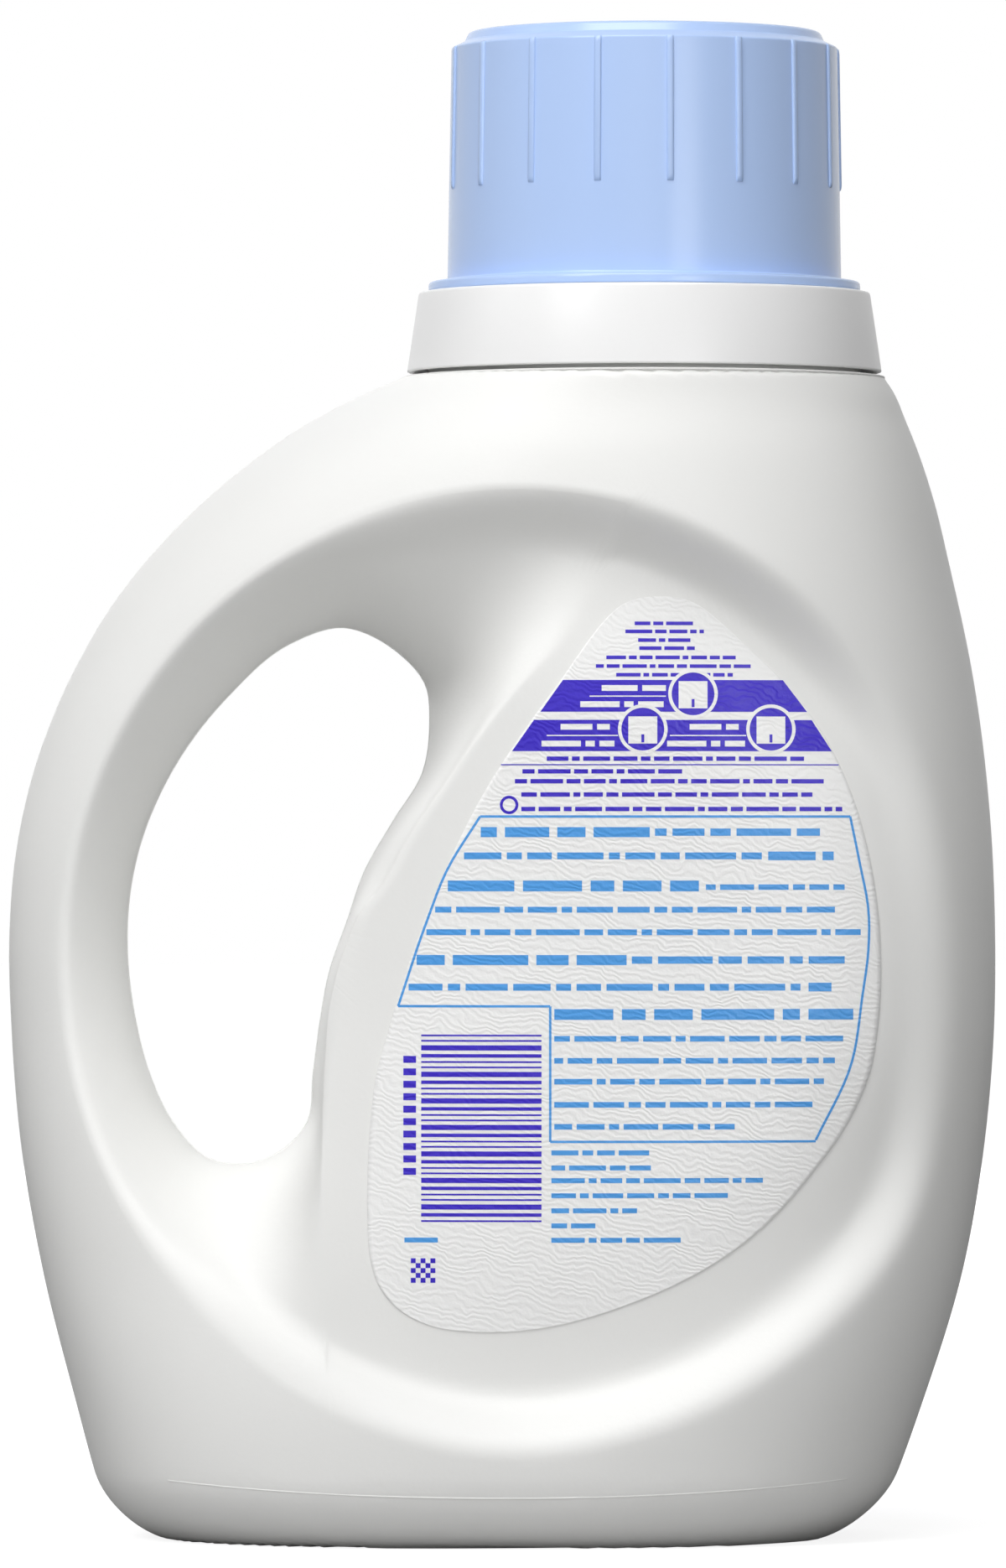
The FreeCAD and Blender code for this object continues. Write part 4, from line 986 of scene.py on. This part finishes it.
def collar_plastic():
    """The collar's white plastic, glossier than the body's."""
    colour = srgb(246, 246, 246)
    made, tree, shader = material("collar_plastic", colour, 0.3)
    tint(tree, shader, colour, srgb(243, 243, 243), 40)
    bump(tree, shader, [(1400, (1, 1, 1), 0.12, 0.02)])
    return made


def cup_plastic():
    """The cup's light blue plastic."""
    colour = srgb(183, 208, 249)
    made, tree, shader = material("cup_plastic", colour, 0.22)
    tint(tree, shader, colour, srgb(176, 202, 246), 25, (1, 1, 0.3))
    bump(tree, shader, [(1100, (1, 1, 1), 0.12, 0.02), (90, (1, 1, 0.4), 0.08, 0.2)])
    return made


def label_material(name, colour):
    """A film with the shallow ripple of a label that was moulded in."""
    made, tree, shader = material(name, colour, 0.34, Specular_IOR_Level=0.45)
    place = tree.nodes.new("ShaderNodeTexCoord")
    tilt = tree.nodes.new("ShaderNodeMapping")
    tilt.inputs["Rotation"].default_value = (0, RIPPLE_TILT, 0)
    ripple = tree.nodes.new("ShaderNodeTexWave")
    ripple.bands_direction = "Z"
    ripple.inputs["Scale"].default_value = RIPPLE_SCALE
    ripple.inputs["Distortion"].default_value = 20.0
    ripple.inputs["Detail"].default_value = 4.0
    ripple.inputs["Detail Scale"].default_value = 0.6
    rough = tree.nodes.new("ShaderNodeBump")
    rough.inputs["Strength"].default_value = 0.6
    rough.inputs["Distance"].default_value = 0.07 * MM
    tree.links.new(place.outputs["Object"], tilt.inputs["Vector"])
    tree.links.new(tilt.outputs["Vector"], ripple.inputs["Vector"])
    tree.links.new(ripple.outputs["Fac"], rough.inputs["Height"])
    tree.links.new(rough.outputs["Normal"], shader.inputs["Normal"])
    return made


bottle_plastic = blown_plastic()
for piece in (bottle, parting, outer_parting, insert_line):
    piece.data.materials.append(bottle_plastic)
white_plastic = collar_plastic()
for piece in (collar, collar_thread):
    piece.data.materials.clear()
    piece.data.materials.append(white_plastic)
cup.data.materials.append(cup_plastic())
label_white = label_material("label_white", srgb(248, 248, 247))
label_violet = label_material("label_violet", srgb(58, 36, 196))
label_blue = label_material("label_blue", srgb(80, 160, 232))
for piece in (front_label, back_label):
    piece.data.materials.append(label_white)
for name, piece in PRINTS.items():
    ink = label_violet if "violet" in name else label_blue if "blue" in name else label_white
    piece.data.materials.append(ink)


# Stage, lights and camera

FLOOR_GREY = 0.38
GLOW_NEAR, GLOW_FAR = 0.08, 0.3
GLOW_UNDER, GLOW_AWAY = 0.86, 1.0


def floor_material():
    """A grey floor that the camera sees as white, a little darker under the object."""
    made = bpy.data.materials.new("pale_floor")
    made.use_nodes = True
    tree = made.node_tree
    tree.nodes.clear()
    output = tree.nodes.new("ShaderNodeOutputMaterial")
    add = tree.nodes.new("ShaderNodeAddShader")
    diffuse = tree.nodes.new("ShaderNodeBsdfDiffuse")
    diffuse.inputs["Color"].default_value = (FLOOR_GREY, FLOOR_GREY, FLOOR_GREY, 1)
    glow = tree.nodes.new("ShaderNodeEmission")
    path = tree.nodes.new("ShaderNodeLightPath")
    place = tree.nodes.new("ShaderNodeTexCoord")
    away = tree.nodes.new("ShaderNodeVectorMath")
    away.operation = "LENGTH"
    spread = tree.nodes.new("ShaderNodeMapRange")
    spread.inputs["From Min"].default_value = GLOW_NEAR
    spread.inputs["From Max"].default_value = GLOW_FAR
    spread.inputs["To Min"].default_value = GLOW_UNDER
    spread.inputs["To Max"].default_value = GLOW_AWAY
    scale = tree.nodes.new("ShaderNodeMath")
    scale.operation = "MULTIPLY"
    tree.links.new(place.outputs["Object"], away.inputs[0])
    tree.links.new(away.outputs["Value"], spread.inputs["Value"])
    tree.links.new(spread.outputs["Result"], scale.inputs[1])
    tree.links.new(path.outputs["Is Camera Ray"], scale.inputs[0])
    tree.links.new(scale.outputs[0], glow.inputs["Strength"])
    tree.links.new(diffuse.outputs[0], add.inputs[0])
    tree.links.new(glow.outputs[0], add.inputs[1])
    tree.links.new(add.outputs[0], output.inputs["Surface"])
    return made


FLOOR_CORNERS = [(-6, -3, 0), (6, -3, 0), (6, 9, 0), (-6, 9, 0)]
mesh = bpy.data.meshes.new("floor")
mesh.from_pydata(FLOOR_CORNERS, [], [(0, 1, 2, 3)])
floor = bpy.data.objects.new("floor", mesh)
mesh.materials.append(floor_material())
bpy.context.scene.collection.objects.link(floor)

# A dim room lights the object, and a white backdrop is what is seen, mirrored or looked through

ROOM_STRENGTH, BACKDROP_STRENGTH = 0.04, 1.0
world = bpy.data.worlds.new("studio")
bpy.context.scene.world = world
world.use_nodes = True
tree = world.node_tree
tree.nodes.clear()
output = tree.nodes.new("ShaderNodeOutputWorld")
room = tree.nodes.new("ShaderNodeBackground")
room.inputs["Color"].default_value = (1, 1, 1, 1)
room.inputs["Strength"].default_value = ROOM_STRENGTH
backdrop = tree.nodes.new("ShaderNodeBackground")
backdrop.inputs["Color"].default_value = (1, 1, 1, 1)
backdrop.inputs["Strength"].default_value = BACKDROP_STRENGTH
path = tree.nodes.new("ShaderNodeLightPath")
seen_or_mirrored = tree.nodes.new("ShaderNodeMath")
seen_or_mirrored.operation = "MAXIMUM"
seen_at_all = tree.nodes.new("ShaderNodeMath")
seen_at_all.operation = "MAXIMUM"
mix = tree.nodes.new("ShaderNodeMixShader")
tree.links.new(path.outputs["Is Camera Ray"], seen_or_mirrored.inputs[0])
tree.links.new(path.outputs["Is Glossy Ray"], seen_or_mirrored.inputs[1])
tree.links.new(seen_or_mirrored.outputs[0], seen_at_all.inputs[0])
tree.links.new(path.outputs["Is Transmission Ray"], seen_at_all.inputs[1])
tree.links.new(seen_at_all.outputs[0], mix.inputs[0])
tree.links.new(room.outputs[0], mix.inputs[1])
tree.links.new(backdrop.outputs[0], mix.inputs[2])
tree.links.new(mix.outputs[0], output.inputs["Surface"])

# Soft lamps: name, place, width, height and watts; the dull ones leave no gloss

AIM = Vector((0, 0, 0.13))


def softbox(name, place, width, height, watts):
    """A soft light that looks at the object."""
    data = bpy.data.lights.new(name, "AREA")
    data.shape = "RECTANGLE"
    data.size = width
    data.size_y = height
    data.energy = watts
    lamp = bpy.data.objects.new(name, data)
    lamp.visible_glossy = name not in DULL_LIGHTS
    lamp.location = place
    lamp.rotation_mode = "QUATERNION"
    lamp.rotation_quaternion = (AIM - Vector(place)).to_track_quat("-Z", "Y")
    bpy.context.scene.collection.objects.link(lamp)


DULL_LIGHTS = ("back_light", "back_fill", "front_light")
LIGHTS = [
    ("top_light", (-0.15, -0.6, 1.4), 1.0, 0.7, 11.7),
    ("left_light", (-0.9, -1.2, 1.2), 0.6, 0.9, 8.3),
    ("right_light", (0.7, -1.6, 0.2), 0.5, 0.8, 5.4),
    ("front_light", (-0.1, -2.0, 0.4), 0.8, 0.8, 6.8),
    ("left_side", (-1.2, -0.2, 0.9), 0.6, 0.8, 1.6),
    ("back_light", (0.0, 2.2, 0.5), 0.4, 0.8, 8.0),
    ("back_fill", (-0.7, 1.7, 0.8), 0.8, 0.8, 7.0),
]
for light in LIGHTS:
    softbox(*light)

# The camera, with the photograph's size and scale

PHOTO_HEIGHT = 1870
PIXEL = 0.148 * MM
EYE_DISTANCE = 2.0
EYE_LEVEL = 0.123
EYE_ROW = 1000
SENSOR = 36.0
camera_data = bpy.data.cameras.new("camera")
camera_data.sensor_width = SENSOR
camera_data.lens = SENSOR * EYE_DISTANCE / (PHOTO_HEIGHT * PIXEL)
camera_data.shift_y = (EYE_ROW - PHOTO_HEIGHT / 2) / PHOTO_HEIGHT
camera_data.clip_end = 50
camera = bpy.data.objects.new("camera", camera_data)
camera.location = (PIXEL, -EYE_DISTANCE, EYE_LEVEL)
camera.rotation_euler = (math.pi / 2, 0, 0)
bpy.context.scene.collection.objects.link(camera)
bpy.context.scene.camera = camera
bpy.context.scene.view_settings.view_transform = "Standard"

bpy.context.view_layer.update()
